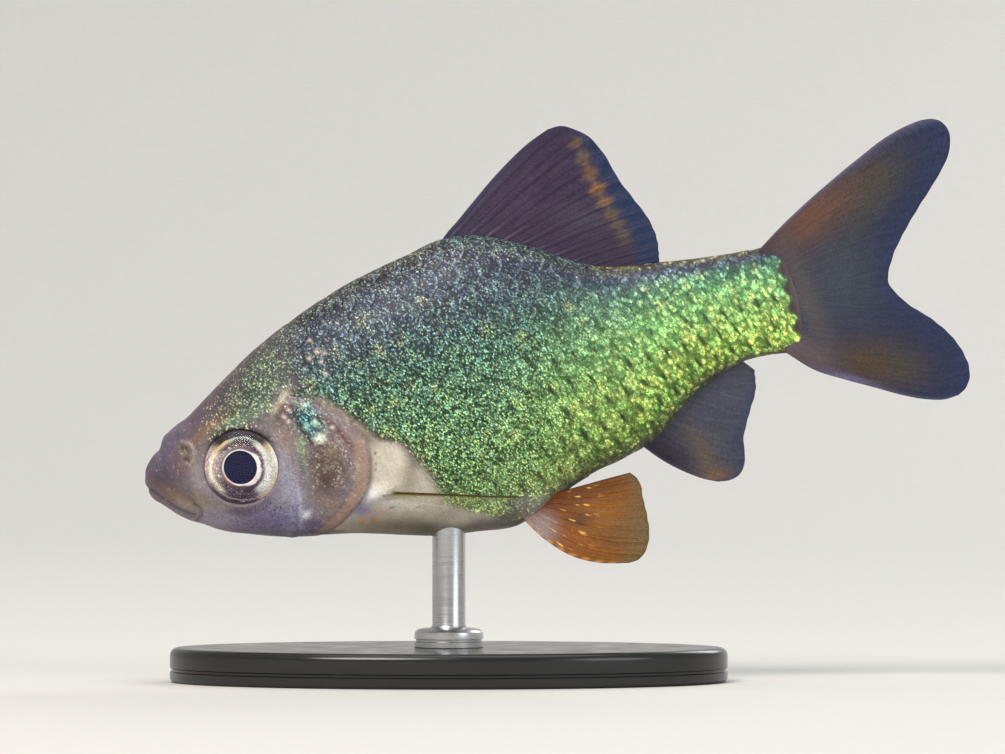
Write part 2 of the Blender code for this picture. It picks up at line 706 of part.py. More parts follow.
def make_body():
    """Head, trunk, tail stalk and the two gill covers, cut from one body."""
    whole = loft_body("whole_body")
    outer = loft_body("gill_outer", GILL_COVER_PROUD)
    inner = loft_body("gill_inner", GILL_COVER_PROUD - GILL_COVER_THICK)
    pocket_floor = loft_body("pocket_floor", GILL_COVER_PROUD - GILL_COVER_THICK - PART_GAP)
    covers = []
    pockets = []
    for side, name in ((1.0, "gill_cover_right"), (-1.0, "gill_cover_left")):
        near, far = sorted((side * GILL_COVER_FROM_MIDDLE, side * 9.0 * MM))
        cover = copy_of(outer, name)
        combine(cover, [outline_prism("cover_outline", GILL_COVER_MM, 0.0, near, far)], "INTERSECT")
        combine(cover, [make_cutter(copy_of(inner, "inner"))], "DIFFERENCE")
        covers.append(cover)
        wide_near, wide_far = sorted((side * (GILL_COVER_FROM_MIDDLE - PART_GAP), side * 10.0 * MM))
        pocket = outline_prism("pocket", GILL_COVER_MM, PART_GAP, wide_near, wide_far)
        combine(pocket, [make_cutter(copy_of(pocket_floor, "floor"))], "DIFFERENCE")
        pockets.append(pocket)
    for tool in (outer, inner, pocket_floor):
        remove(tool)
    combine(whole, pockets, "DIFFERENCE")
    parts = []
    spans = (
        ("head", ((-60.0, 0.0), SHOULDER_CUT_MM)),
        ("trunk", (SHOULDER_CUT_MM, TAIL_CUT_MM)),
        ("tail_stalk", (TAIL_CUT_MM, (60.0, 0.0))),
    )
    for name, _ in spans:
        part = copy_of(whole, name)
        combine(part, [slab_for(name)], "INTERSECT")
        parts.append(part)
    remove(whole)
    return parts, covers


def slab_for(name):
    """Block that holds one length of the body, bounded by the parting cuts."""
    far_ahead, far_behind = -20.0 * MM, 80.0 * MM
    reach = 14.0 * MM
    steps = 14

    def cut_line(points_mm, offset):
        line = [curve_point(points_mm, step / steps) * MM for step in range(steps + 1)]
        return [(point[0] + offset, point[1]) for point in line]

    top, bottom = 14.0 * MM, -12.0 * MM
    shoulder_front = cut_line(SHOULDER_CUT_MM, -PART_GAP / 2)
    shoulder_rear = cut_line(SHOULDER_CUT_MM, PART_GAP / 2)
    tail_front = cut_line(TAIL_CUT_MM, -PART_GAP / 2)
    tail_rear = cut_line(TAIL_CUT_MM, PART_GAP / 2)
    if name == "head":
        outline = [(far_ahead, top)] + shoulder_front + [(far_ahead, bottom)]
    elif name == "trunk":
        outline = shoulder_rear[::-1] + tail_front
    else:
        outline = tail_rear[::-1] + [(far_behind, top), (far_behind, bottom)]
    bm = bmesh.new()
    walls = [[bm.verts.new((x, y, z)) for x, z in outline] for y in (-reach, reach)]
    for step in range(len(outline)):
        after = (step + 1) % len(outline)
        bm.faces.new((walls[0][step], walls[0][after], walls[1][after], walls[1][step]))
    bm.faces.new(walls[0])
    bm.faces.new(walls[1])
    bmesh.ops.recalc_face_normals(bm, faces=bm.faces)
    return make_cutter(object_from(bm, name + "_span", TOOLS))


(head, trunk, tail_stalk), (gill_cover_right, gill_cover_left) = make_body()
shape_head(head)
eye_right = make_eye("eye_right")
eye_left = mirrored(eye_right, "eye_left")
dorsal_fin = make_dorsal_fin()
anal_fin = make_anal_fin()
caudal_fin = make_caudal_fin()
pelvic_fin_right = make_pelvic_fin()
pelvic_fin_left = mirrored(pelvic_fin_right, "pelvic_fin_left")
pectoral_fin_right = make_pectoral_fin()
pectoral_fin_left = mirrored(pectoral_fin_right, "pectoral_fin_left")

FINISHES = (
    (head, "skin_head"), (trunk, "skin_green"), (tail_stalk, "skin_green"),
    (gill_cover_right, "gill_cover"), (gill_cover_left, "gill_cover"),
    (eye_right, "eye"), (eye_left, "eye"), (dorsal_fin, "fin_dark"), (anal_fin, "fin_slate"),
    (caudal_fin, "fin_slate"), (pelvic_fin_right, "fin_orange"), (pelvic_fin_left, "fin_orange"),
    (pectoral_fin_right, "fin_clear"), (pectoral_fin_left, "fin_clear"),
)

# The fish hangs from one empty, which pitches it and sets its height and place over the base.
pose = bpy.data.objects.new("fish_pose", None)
MODEL.objects.link(pose)
tilt = Matrix.Rotation(-HEAD_DOWN_PITCH, 4, "Y")
corners = [tilt @ Vector(vert.co) for obj, _ in FINISHES for vert in obj.data.vertices]
front_x = min(corner.x for corner in corners)
rear_x = max(corner.x for corner in corners)
rod_point = tilt @ Vector((ROD_AT_MM[0] * MM, 0.0, ROD_AT_MM[1] * MM))
shift_x = -0.5 * (front_x + rear_x)
lift = BASE_HEIGHT + BELLY_ABOVE_BASE - rod_point.z
pose.matrix_world = Matrix.Translation((shift_x, 0.0, lift)) @ tilt
for obj, finish in FINISHES:
    obj.parent = pose
    paint(obj, finish)

rod_x = shift_x + rod_point.x
stand_base = make_base(rod_x)
stand_rod = make_rod(rod_x, BASE_HEIGHT + BELLY_ABOVE_BASE)
belly = make_cutter(loft_body("belly", PART_GAP))
belly.data.transform(pose.matrix_world)
combine(stand_rod, [belly], "DIFFERENCE")
paint(stand_base, "stand_base")
paint(stand_rod, "stand_rod")
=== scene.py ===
import json
import logging
import math
from dataclasses import dataclass
from enum import Enum

import bpy
import numpy as np
from bpy.types import Material, Mesh, Node, NodeSocket, NodeTree, Object
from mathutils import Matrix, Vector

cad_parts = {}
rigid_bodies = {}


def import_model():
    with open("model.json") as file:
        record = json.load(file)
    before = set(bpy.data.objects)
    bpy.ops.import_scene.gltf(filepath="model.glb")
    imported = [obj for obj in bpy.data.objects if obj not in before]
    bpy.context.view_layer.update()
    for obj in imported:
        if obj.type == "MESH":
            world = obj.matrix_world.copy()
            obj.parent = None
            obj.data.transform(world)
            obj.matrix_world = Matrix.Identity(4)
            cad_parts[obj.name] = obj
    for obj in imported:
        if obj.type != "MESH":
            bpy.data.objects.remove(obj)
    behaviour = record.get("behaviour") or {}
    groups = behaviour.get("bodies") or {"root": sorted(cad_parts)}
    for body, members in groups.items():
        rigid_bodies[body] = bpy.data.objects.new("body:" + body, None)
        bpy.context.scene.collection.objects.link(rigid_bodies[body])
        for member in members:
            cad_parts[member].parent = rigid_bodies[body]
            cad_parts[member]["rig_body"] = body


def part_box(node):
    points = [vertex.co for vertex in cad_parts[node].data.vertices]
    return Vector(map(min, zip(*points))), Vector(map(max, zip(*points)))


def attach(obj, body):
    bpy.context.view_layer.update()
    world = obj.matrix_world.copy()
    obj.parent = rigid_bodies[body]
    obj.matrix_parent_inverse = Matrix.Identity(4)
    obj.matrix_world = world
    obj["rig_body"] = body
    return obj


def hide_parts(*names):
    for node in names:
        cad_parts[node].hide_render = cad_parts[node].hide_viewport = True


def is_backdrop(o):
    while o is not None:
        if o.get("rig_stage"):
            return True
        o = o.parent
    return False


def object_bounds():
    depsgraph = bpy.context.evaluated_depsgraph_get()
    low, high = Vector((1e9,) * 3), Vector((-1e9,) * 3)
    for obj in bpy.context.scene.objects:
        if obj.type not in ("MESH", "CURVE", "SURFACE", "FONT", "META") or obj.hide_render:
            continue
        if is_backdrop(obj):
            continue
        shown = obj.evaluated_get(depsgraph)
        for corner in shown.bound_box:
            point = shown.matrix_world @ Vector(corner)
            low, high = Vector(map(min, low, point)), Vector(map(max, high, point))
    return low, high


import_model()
CAD_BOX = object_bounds()

Array = np.ndarray
Colour = tuple[float, float, float, float]
Curve = tuple[tuple[float, ...], ...]

MM = 0.001
LEFT, RIGHT = -1.0, 1.0

log = logging.getLogger("tiger_barb")


def linear(hex_colour: str) -> Colour:
    """Turn an sRGB hex colour into linear light.

    Args:
        hex_colour: colour such as "#8c8286".

    Returns:
        Linear red, green and blue, and an alpha of one.
    """
    parts = [int(hex_colour[start:start + 2], 16) / 255 for start in (1, 3, 5)]
    light = [part / 12.92 if part <= 0.04045 else ((part + 0.055) / 1.055) ** 2.4 for part in parts]
    return (light[0], light[1], light[2], 1.0)


def tint(hex_colour: str) -> Array:
    """Linear red, green and blue of a hex colour, as an array."""
    return np.array(linear(hex_colour)[:3])


def ease(low: float, high: float, value: Array) -> Array:
    """Soft step from 0 at low to 1 at high."""
    share = np.clip((value - low) / (high - low), 0.0, 1.0)
    return share * share * (3.0 - 2.0 * share)


def bell(value: Array, width: float) -> Array:
    """Bell curve of a distance: 1 at nothing, falling off over the width."""
    return np.exp(-((value / width) ** 2))


def blend(low: Array, high: Array, share: Array) -> Array:
    """Mix two sets of colours by a share for each point."""
    return low + (high - low) * share[..., None]


def brush(ground: Array, hex_colour: str, share: Array) -> Array:
    """Mix a hex colour into a set of colours by a share for each point."""
    return blend(ground, tint(hex_colour), share)


def smooth(positions: Array, values: Array, where: Array) -> Array:
    """Values on a smooth curve through given ones.

    Args:
        positions: where the values are given, rising.
        values: the given values.
        where: the places that are asked for.

    Returns:
        One value for each place.
    """
    slopes = np.gradient(values, positions)
    index = np.clip(np.searchsorted(positions, where) - 1, 0, len(positions) - 2)
    step = positions[index + 1] - positions[index]
    t = np.clip((where - positions[index]) / step, 0.0, 1.0)
    rise = (1 + 2 * t) * (1 - t) ** 2 * values[index] + t * t * (3 - 2 * t) * values[index + 1]
    return rise + step * (t * (1 - t) ** 2 * slopes[index] - t * t * (1 - t) * slopes[index + 1])


def along_curve(points: Array, shares: Array) -> Array:
    """Points at shares of the length of a smooth curve.

    Args:
        points: the points that the curve passes through.
        shares: shares of its length, 0 to 1.

    Returns:
        One point for each share.
    """
    lengths = np.concatenate([[0.0], np.cumsum(np.linalg.norm(np.diff(points, axis=0), axis=1))])
    where = shares * lengths[-1]
    return np.stack([smooth(lengths, points[:, axis], where) for axis in range(points.shape[1])], axis=-1)


def line_distance(line: Curve, along: Array, height: Array) -> tuple[Array, Array, Array]:
    """Distance of points from a line on the side view.

    Args:
        line: corners of the line, in millimetres.
        along: distance of each point from the snout.
        height: height of each point.

    Returns:
        The distance, the distance with a sign that is plus on the left of the line's run, and the
        share of the line's length where each point is nearest.
    """
    corners = np.array(line, float)
    lengths = np.linalg.norm(np.diff(corners, axis=0), axis=1)
    starts = np.concatenate([[0.0], np.cumsum(lengths)])
    best = np.full(np.shape(along), np.inf)
    signed = np.zeros(np.shape(along))
    share = np.zeros(np.shape(along))
    for index, length in enumerate(lengths):
        run = (corners[index + 1] - corners[index]) / length
        to_along, to_height = along - corners[index][0], height - corners[index][1]
        travel = np.clip(to_along * run[0] + to_height * run[1], 0.0, length)
        off_along, off_height = to_along - travel * run[0], to_height - travel * run[1]
        gap = np.hypot(off_along, off_height)
        nearer = gap < best
        best = np.where(nearer, gap, best)
        side = np.where(run[0] * off_height - run[1] * off_along >= 0.0, 1.0, -1.0)
        signed = np.where(nearer, gap * side, signed)
        share = np.where(nearer, (starts[index] + travel) / starts[-1], share)
    return best, signed, share


def grid_faces(rows: int, columns: int, closed: bool = False, first: int = 0) -> Array:
    """Four-cornered faces of a grid of vertices.

    Args:
        rows: how many rows of vertices.
        columns: how many vertices in a row.
        closed: whether the last column joins the first.
        first: index of the first vertex.

    Returns:
        Vertex indices, four for each face.
    """
    row, column = np.meshgrid(np.arange(rows - 1), np.arange(columns if closed else columns - 1), indexing="ij")
    after = (column + 1) % columns
    corners = (row * columns + column, (row + 1) * columns + column, (row + 1) * columns + after,
               row * columns + after)
    return first + np.stack([corner.ravel() for corner in corners], axis=1)


def capped_faces(rows: int, columns: int) -> list[Array]:
    """Faces of rings of vertices that two more vertices close, one at either end.

    Args:
        rows: how many rings.
        columns: how many vertices in a ring.

    Returns:
        The faces between the rings, those of the first end and those of the last.
    """
    ring, low = np.arange(columns), (rows - 1) * columns
    after = (ring + 1) % columns
    return [grid_faces(rows, columns, closed=True),
            np.stack([np.full(columns, rows * columns), ring, after], axis=1),
            np.stack([low + ring, np.full(columns, rows * columns + 1), low + after], axis=1)]


def add(tree: NodeTree, kind: str, links: dict | None = None, **settings: object) -> Node:
    """Add a node with its settings and links.

    Args:
        tree: the node tree of the material.
        kind: the node's type.
        links: for each input, a value, or the output or the node that feeds it.
        settings: the node's own settings.

    Returns:
        The new node.
    """
    made = tree.nodes.new(kind)
    for name, value in settings.items():
        setattr(made, name, value)
    for name, value in (links or {}).items():
        value = value.outputs[0] if isinstance(value, Node) else value
        if isinstance(value, NodeSocket):
            tree.links.new(value, made.inputs[name])
        else:
            made.inputs[name].default_value = value
    return made


def new_material(name: str) -> tuple[Material, NodeTree]:
    """Start a material.

    Args:
        name: the name of the real material.

    Returns:
        The material and its empty node tree.
    """
    material = bpy.data.materials.new(name)
    material.use_nodes = True
    material.node_tree.nodes.clear()
    return material, material.node_tree


MARK_OUTPUTS = {"grain": "Vector", "ground": "Color", "glint": "Color", "glitter": "Fac", "coarse": "Fac"}


def mark_sockets(tree: NodeTree, *names: str) -> list[NodeSocket]:
    """Outputs that read marks from the mesh, by their names."""
    return [add(tree, "ShaderNodeAttribute", attribute_name=name).outputs[MARK_OUTPUTS[name]] for name in names]


@dataclass(frozen=True)
class Pose:
    """How the fish hangs on its stand: head down, the belly on the rod."""

    head_down: float = math.radians(14.8)
    rod_at: tuple[float, float] = (20.9, -9.75)
    belly_above_base: float = 8.6

    def place(self, points: Array) -> Array:
        """Turn points of the fish, in millimetres, into the row frame, in metres.

        Args:
            points: distance from the snout, distance to the right, height.

        Returns:
            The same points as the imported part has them.
        """
        cos, sin = math.cos(self.head_down), math.sin(self.head_down)
        rod_low, rod_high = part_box("stand_rod")
        base_low, base_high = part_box("stand_base")
        rod_x = (rod_low.x + rod_high.x) / 2 / MM
        shift = rod_x - (self.rod_at[0] * cos - self.rod_at[1] * sin)
        belly = (base_high.z - base_low.z) / MM + self.belly_above_base
        lift = belly - (self.rod_at[0] * sin + self.rod_at[1] * cos)
        x = points[..., 0] * cos - points[..., 2] * sin + shift
        z = points[..., 0] * sin + points[..., 2] * cos + lift
        return np.stack([x, points[..., 1], z], axis=-1) * MM


POSE = Pose()


@dataclass
class Marks:
    """What the colour of a surface is made of, for each of its points."""

    ground: Array
    glint: Array
    glitter: Array
    coarse: Array
    grain: Array

    def write(self, mesh: Mesh) -> None:
        """Store the marks on a mesh, where its material finds them."""
        for name, colours in (("ground", self.ground), ("glint", self.glint)):
            layer = mesh.attributes.new(name, "FLOAT_COLOR", "POINT")
            full = np.concatenate([colours, np.ones((len(colours), 1))], axis=1)
            layer.data.foreach_set("color", full.astype(np.float32).ravel())
        for name, values in (("glitter", self.glitter), ("coarse", self.coarse)):
            mesh.attributes.new(name, "FLOAT", "POINT").data.foreach_set("value", values.astype(np.float32))
        layer = mesh.attributes.new("grain", "FLOAT_VECTOR", "POINT")
        layer.data.foreach_set("vector", self.grain.astype(np.float32).ravel())

    def doubled(self) -> "Marks":
        """The same marks for both faces of a plate."""
        layers = (self.ground, self.glint, self.glitter, self.coarse, self.grain)
        return Marks(*(np.concatenate([layer, layer]) for layer in layers))


def make_piece(name: str, points: Array, faces: list[Array], marks: Marks | None = None,
               patches: list[Array] | None = None, crease: float = 180.0) -> Object:
    """Build a piece from points of the fish.

    Args:
        name: the piece's name.
        points: vertices in the row frame, in metres.
        faces: sets of faces, each with one number of corners.
        marks: what its colour is made of, if it has markings.
        patches: the place of every face's corners on the flat map, set by set.
        crease: edges sharper than this many degrees stay crisp.

    Returns:
        The object, linked into the scene.
    """
    corners = np.concatenate([part.ravel() for part in faces]).astype(np.int32)
    totals = np.concatenate([np.full(len(part), part.shape[1]) for part in faces])
    mesh = bpy.data.meshes.new(name)
    mesh.vertices.add(len(points))
    mesh.vertices.foreach_set("co", points.astype(np.float32).ravel())
    mesh.loops.add(len(corners))
    mesh.loops.foreach_set("vertex_index", corners)
    mesh.polygons.add(len(totals))
    mesh.polygons.foreach_set("loop_start", np.concatenate([[0], np.cumsum(totals)[:-1]]).astype(np.int32))
    mesh.update(calc_edges=True)
    if marks is not None:
        marks.write(mesh)
    if patches is not None:
        layer = mesh.uv_layers.new(name="OFBake")
        layer.data.foreach_set("uv", np.concatenate([p.reshape(-1, 2) for p in patches]).astype(np.float32).ravel())
    mesh.polygons.foreach_set("use_smooth", np.ones(len(totals), bool))
    if crease < 180.0:
        mesh.set_sharp_from_angle(angle=math.radians(crease))
    obj = bpy.data.objects.new(name, mesh)
    bpy.context.scene.collection.objects.link(obj)
    return obj


def dress(obj: Object, material: Material, slot: str, *nodes: str) -> Object:
    """Give a piece its material and its place on the part, and hide the solids that it stands for.

    Args:
        obj: the piece.
        material: its finish.
        slot: the record's slot that the finish belongs to; not used.
        nodes: the solids that the piece stands for.

    Returns:
        The same piece.
    """
    obj.data.materials.append(material)
    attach(obj, "root")
    if nodes:
        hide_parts(*nodes)
    log.info("%s: %d faces", obj.name, len(obj.data.polygons))
    return obj


@dataclass(frozen=True)
class BodyForm:
    """The body as one closed form of smooth sections, in millimetres.

    A section is the distance from the snout, the back, the belly and the half width.
    """

    sections: Curve = (
        (-0.16, -0.42, -0.42, 0.00), (-0.06, 0.42, -1.16, 0.46), (0.2, 0.9, -1.68, 0.86),
        (0.5, 1.24, -1.98, 1.16), (1.00, 1.66, -2.52, 1.56), (1.5, 1.98, -3.1, 1.86),
        (1.95, 2.7, -3.52, 2.08), (2.4, 2.98, -3.88, 2.26), (3.2, 3.38, -4.36, 2.56),
        (4.1, 3.72, -4.98, 2.86), (5.00, 4.26, -5.46, 3.08), (6.00, 4.88, -5.84, 3.3),
        (8.00, 6.08, -6.56, 3.66), (10.0, 7.22, -7.1, 3.94), (12.0, 8.16, -7.52, 4.14),
        (14.0, 9.00, -7.95, 4.28), (16.0, 9.74, -8.52, 4.4), (18.0, 10.32, -9.15, 4.47),
        (20.0, 10.78, -9.72, 4.5), (23.0, 11.35, -10.18, 4.42), (26.0, 11.88, -10.5, 4.25),
        (28.2, 11.55, -9.95, 4.02), (30.5, 10.6, -8.9, 3.75), (33.0, 9.18, -8.15, 3.42),
        (35.0, 7.78, -7.8, 3.1), (37.0, 6.78, -7.15, 2.8), (38.5, 6.36, -6.42, 2.55),
        (41.0, 6.05, -4.68, 2.15), (44.0, 5.57, -3.28, 1.75), (47.0, 5.22, -3.00, 1.35),
        (49.4, 5.15, -3.35, 0.9), (51.2, 5.45, -3.95, 0.03),
    )
    fullness: float = 1.15
    coat_depth: float = 0.1

    def section(self, along: Array) -> tuple[Array, Array, Array]:
        """Back, belly and half width at distances from the snout.

        Args:
            along: distances from the snout.

        Returns:
            The three sizes at each distance.
        """
        table = np.array(self.sections)
        tip = table[0, 0]
        places = np.sqrt(table[:, 0] - tip)
        where = np.sqrt(np.clip(along - tip, 0.0, None))
        back, belly, width = (smooth(places, table[:, column], where) for column in (1, 2, 3))
        return back, belly, np.maximum(width, 0.0)

    def point(self, along: Array, angle: Array) -> Array:
        """Points of the skin: angle 0 is the back, a quarter turn the right flank.

        Args:
            along: distances from the snout.
            angle: angles round the body.

        Returns:
            Points as distance, side and height.
        """
        back, belly, width = self.section(along)
        sine = np.sin(angle)
        side = np.sign(sine) * np.abs(sine) ** self.fullness
        height = 0.5 * (back + belly) + 0.5 * (back - belly) * np.cos(angle)
        return np.stack([along + 0.0 * angle, width * side, height], axis=-1)

    def angle_of(self, along: Array, height: Array) -> Array:
        """Angle of the right flank at a distance and height."""
        back, belly, _ = self.section(along)
        share = (height - 0.5 * (back + belly)) / np.maximum(0.5 * (back - belly), 1e-6)
        return np.arccos(np.clip(share, -1.0, 1.0))

    def level(self, along: Array, height: Array) -> Array:
        """Height as a share, 0 at the belly and 1 at the back."""
        back, belly, _ = self.section(along)
        return np.clip((height - belly) / np.maximum(back - belly, 1e-6), 0.0, 1.0)

    def outward(self, along: Array, angle: Array) -> Array:
        """Directions that point straight out of the skin.

        Args:
            along: distances from the snout.
            angle: angles round the body.

        Returns:
            Unit vectors.
        """
        near = 0.01
        run = self.point(along + near, angle) - self.point(along - near, angle)
        turn = self.point(along, angle + near) - self.point(along, angle - near)
        out = np.cross(run, turn)
        return out / np.maximum(np.linalg.norm(out, axis=-1, keepdims=True), 1e-12)


BODY = BodyForm()


@dataclass(frozen=True)
class GillRim:
    """Rear edge of the gill cover, which the skin's own grid lines follow."""

    edge: Curve = (
        (12.62, 2.97), (13.68, 2.53), (14.75, 1.62), (15.75, 0.55), (16.45, -0.55), (16.8, -1.8),
        (16.7, -2.95), (16.23, -4.3), (15.4, -5.42), (14.23, -6.3), (13.03, -6.96), (12.13, -7.3),
    )
    nape: float = 12.3
    throat: float = 11.0
    opens: tuple[float, float] = (math.radians(62.0), math.radians(74.0))
    closes: tuple[float, float] = (math.radians(150.0), math.radians(172.0))

    def at(self, angle: Array) -> Array:
        """Distance of the rim from the snout at angles of the right flank."""
        edge = np.array(self.edge)
        angles = BODY.angle_of(edge[:, 0], edge[:, 1])
        order = np.argsort(angles)
        places = np.concatenate([[0.0, 0.45 * math.pi / 2], angles[order], [math.pi]])
        values = np.concatenate([[self.nape, self.nape], edge[order, 0], [self.throat]])
        return smooth(places, values, angle)

    def strength(self, angle: Array) -> Array:
        """How open the rim is at angles of the right flank, 0 to 1."""
        return ease(*self.opens, angle) * (1.0 - 0.75 * ease(*self.closes, angle))


RIM = GillRim()


@dataclass(frozen=True)
class Relief:
    """The modelled forms of the head and the fin roots, as heights on the body form."""

    eye: tuple[float, float] = (7.18, -0.95)
    orbit: float = 2.9
    orbit_depth: float = 1.3
    orbit_rim: float = 0.1
    cover_rise: float = 0.2
    cover_cut: float = 0.11
    mouth: Curve = ((-0.3, -0.62), (0.1, -0.88), (0.9, -1.86), (1.78, -2.82), (2.55, -3.38), (3.05, -3.62))
    jaw_end: Curve = ((3.02, -2.75), (3.42, -3.22), (3.36, -3.72), (2.9, -3.98))
    cheek_edge: Curve = ((12.1, 0.6), (11.95, -1.2), (11.5, -2.6), (10.9, -4.0), (10.3, -5.6), (9.85, -6.9))
    bone_edge: Curve = ((12.15, 2.3), (12.35, 0.5), (12.75, -0.55), (13.5, -1.0))
    nostrils: Curve = ((3.3, 0.62), (3.3, 1.5))
    nostril_flap: Curve = ((3.3, 2.05), (3.78, 1.8), (4.05, 1.15), (3.9, 0.55), (3.45, 0.15))
    pectoral_root: tuple[float, float] = (16.55, -5.55)
    pelvic_root: tuple[float, float] = (27.3, -10.1)

    def head(self, along: Array, height: Array) -> Array:
        """Heights of the mouth, nostrils, orbit and cheek.

        Args:
            along: distance of each point from the snout.
            height: height of each point.

        Returns:
            How far the skin stands out at each point.
        """
        reach = np.hypot(along - self.eye[0], height - self.eye[1])
        rise = np.where(reach > self.orbit, self.orbit_rim * bell(reach - self.orbit, 0.34), 0.0)
        rise = rise - np.where(reach <= self.orbit, self.orbit_depth * ease(0.0, 0.62, self.orbit - reach), 0.0)
        rise = rise - 0.02 * bell(reach - 3.75, 0.2) * (height < 1.2)
        gap, signed, share = line_distance(self.mouth, along, height)
        fade = (1.0 - ease(0.9, 1.0, share)) * ease(0.02, 0.2, share + 0.08)
        rise = rise - 0.13 * bell(gap, 0.07) * fade
        rise = rise + 0.075 * bell(signed - 0.4, 0.27) * (1.0 - 0.6 * share)
        rise = rise + 0.065 * bell(signed + 0.36, 0.22) * (1.0 - 0.5 * share)
        rise = rise - 0.05 * bell(signed - 0.95, 0.15) * fade
        rise = rise - 0.05 * bell(signed + 0.88, 0.15) * fade
        gap, _, _ = line_distance(self.jaw_end, along, height)
        rise = rise - 0.08 * bell(gap, 0.11)
        rise = rise - 0.16 * bell(np.hypot(along - 3.42, height - 1.05), 0.42)
        for place in self.nostrils:
            rise = rise - 0.16 * bell(np.hypot(along - place[0], height - place[1]), 0.22)
        gap, _, share = line_distance(self.nostril_flap, along, height)
        rise = rise + 0.1 * bell(gap, 0.13) * np.sin(np.pi * np.clip(share, 0.05, 0.95))
        gap, signed, share = line_distance(self.cheek_edge, along, height)
        rise = rise - 0.07 * bell(gap, 0.16) * (1.0 - ease(0.72, 0.98, share)) + 0.06 * bell(signed + 0.42, 0.3)
        gap, _, _ = line_distance(self.bone_edge, along, height)
        return rise - 0.08 * bell(gap, 0.14)

    def cover(self, behind: Array, open_share: Array) -> Array:
        """Heights of the gill cover: raised in front of its rim and cut back behind it.

        Args:
            behind: distance behind the rim, minus in front of it.
            open_share: how open the rim is.

        Returns:
            How far the skin stands out at each point.
        """
        front = self.cover_rise * ease(-4.6, -1.4, behind) - 0.05 * bell(behind + 1.15, 0.16)
        rear = -self.cover_cut * np.exp(-np.clip(behind, 0.0, None) / 0.6)
        return np.where(behind <= 0.0, front, rear) * open_share

    def roots(self, along: Array, height: Array, angle: Array) -> Array:
        """Heights of the swellings that carry the fins.

        Args:
            along: distance of each point from the snout.
            height: height of each point.
            angle: angle of each point on the right flank.

        Returns:
            How far the skin stands out at each point.
        """
        rise = 0.34 * bell(np.hypot(along - self.pectoral_root[0], 1.5 * (height - self.pectoral_root[1])), 0.95)
        run = (along - self.pelvic_root[0]) / 1.7
        turn = (angle - math.radians(160.0)) / math.radians(13.0)
        rise = rise + 0.42 * np.exp(-(run ** 2 + turn ** 2))
        sheath = bell(angle, 0.16) * ease(26.2, 27.6, along) * (1.0 - ease(38.8, 40.4, along))
        keel = bell(math.pi - angle, 0.2) * ease(35.6, 36.8, along) * (1.0 - ease(44.4, 46.0, along))
        return rise + 0.1 * sheath + 0.1 * keel


RELIEF = Relief()


@dataclass(frozen=True)
class Patch:
    """A soft-edged spot of colour: its middle, its reach along and up, its lean and its strength."""

    along: float
    height: float
    reach: float
    rise: float
    lean: float
    colour: str
    strength: float
    crisp: float = 1.0

    def weight(self, along: Array, height: Array) -> Array:
        """How much of the patch shows at points of the side view."""
        turn = math.radians(self.lean)
        run = (along - self.along) * math.cos(turn) + (height - self.height) * math.sin(turn)
        up = (height - self.height) * math.cos(turn) - (along - self.along) * math.sin(turn)
        square = (run / self.reach) ** 2 + (up / self.rise) ** 2
        return self.strength * np.exp(-(square ** self.crisp))


HEAD_RAMP = ((0.0, "#77707c"), (0.16, "#8d868f"), (0.42, "#8a8084"), (0.62, "#746a6d"), (0.85, "#625a5e"),
             (1.0, "#6c6570"))

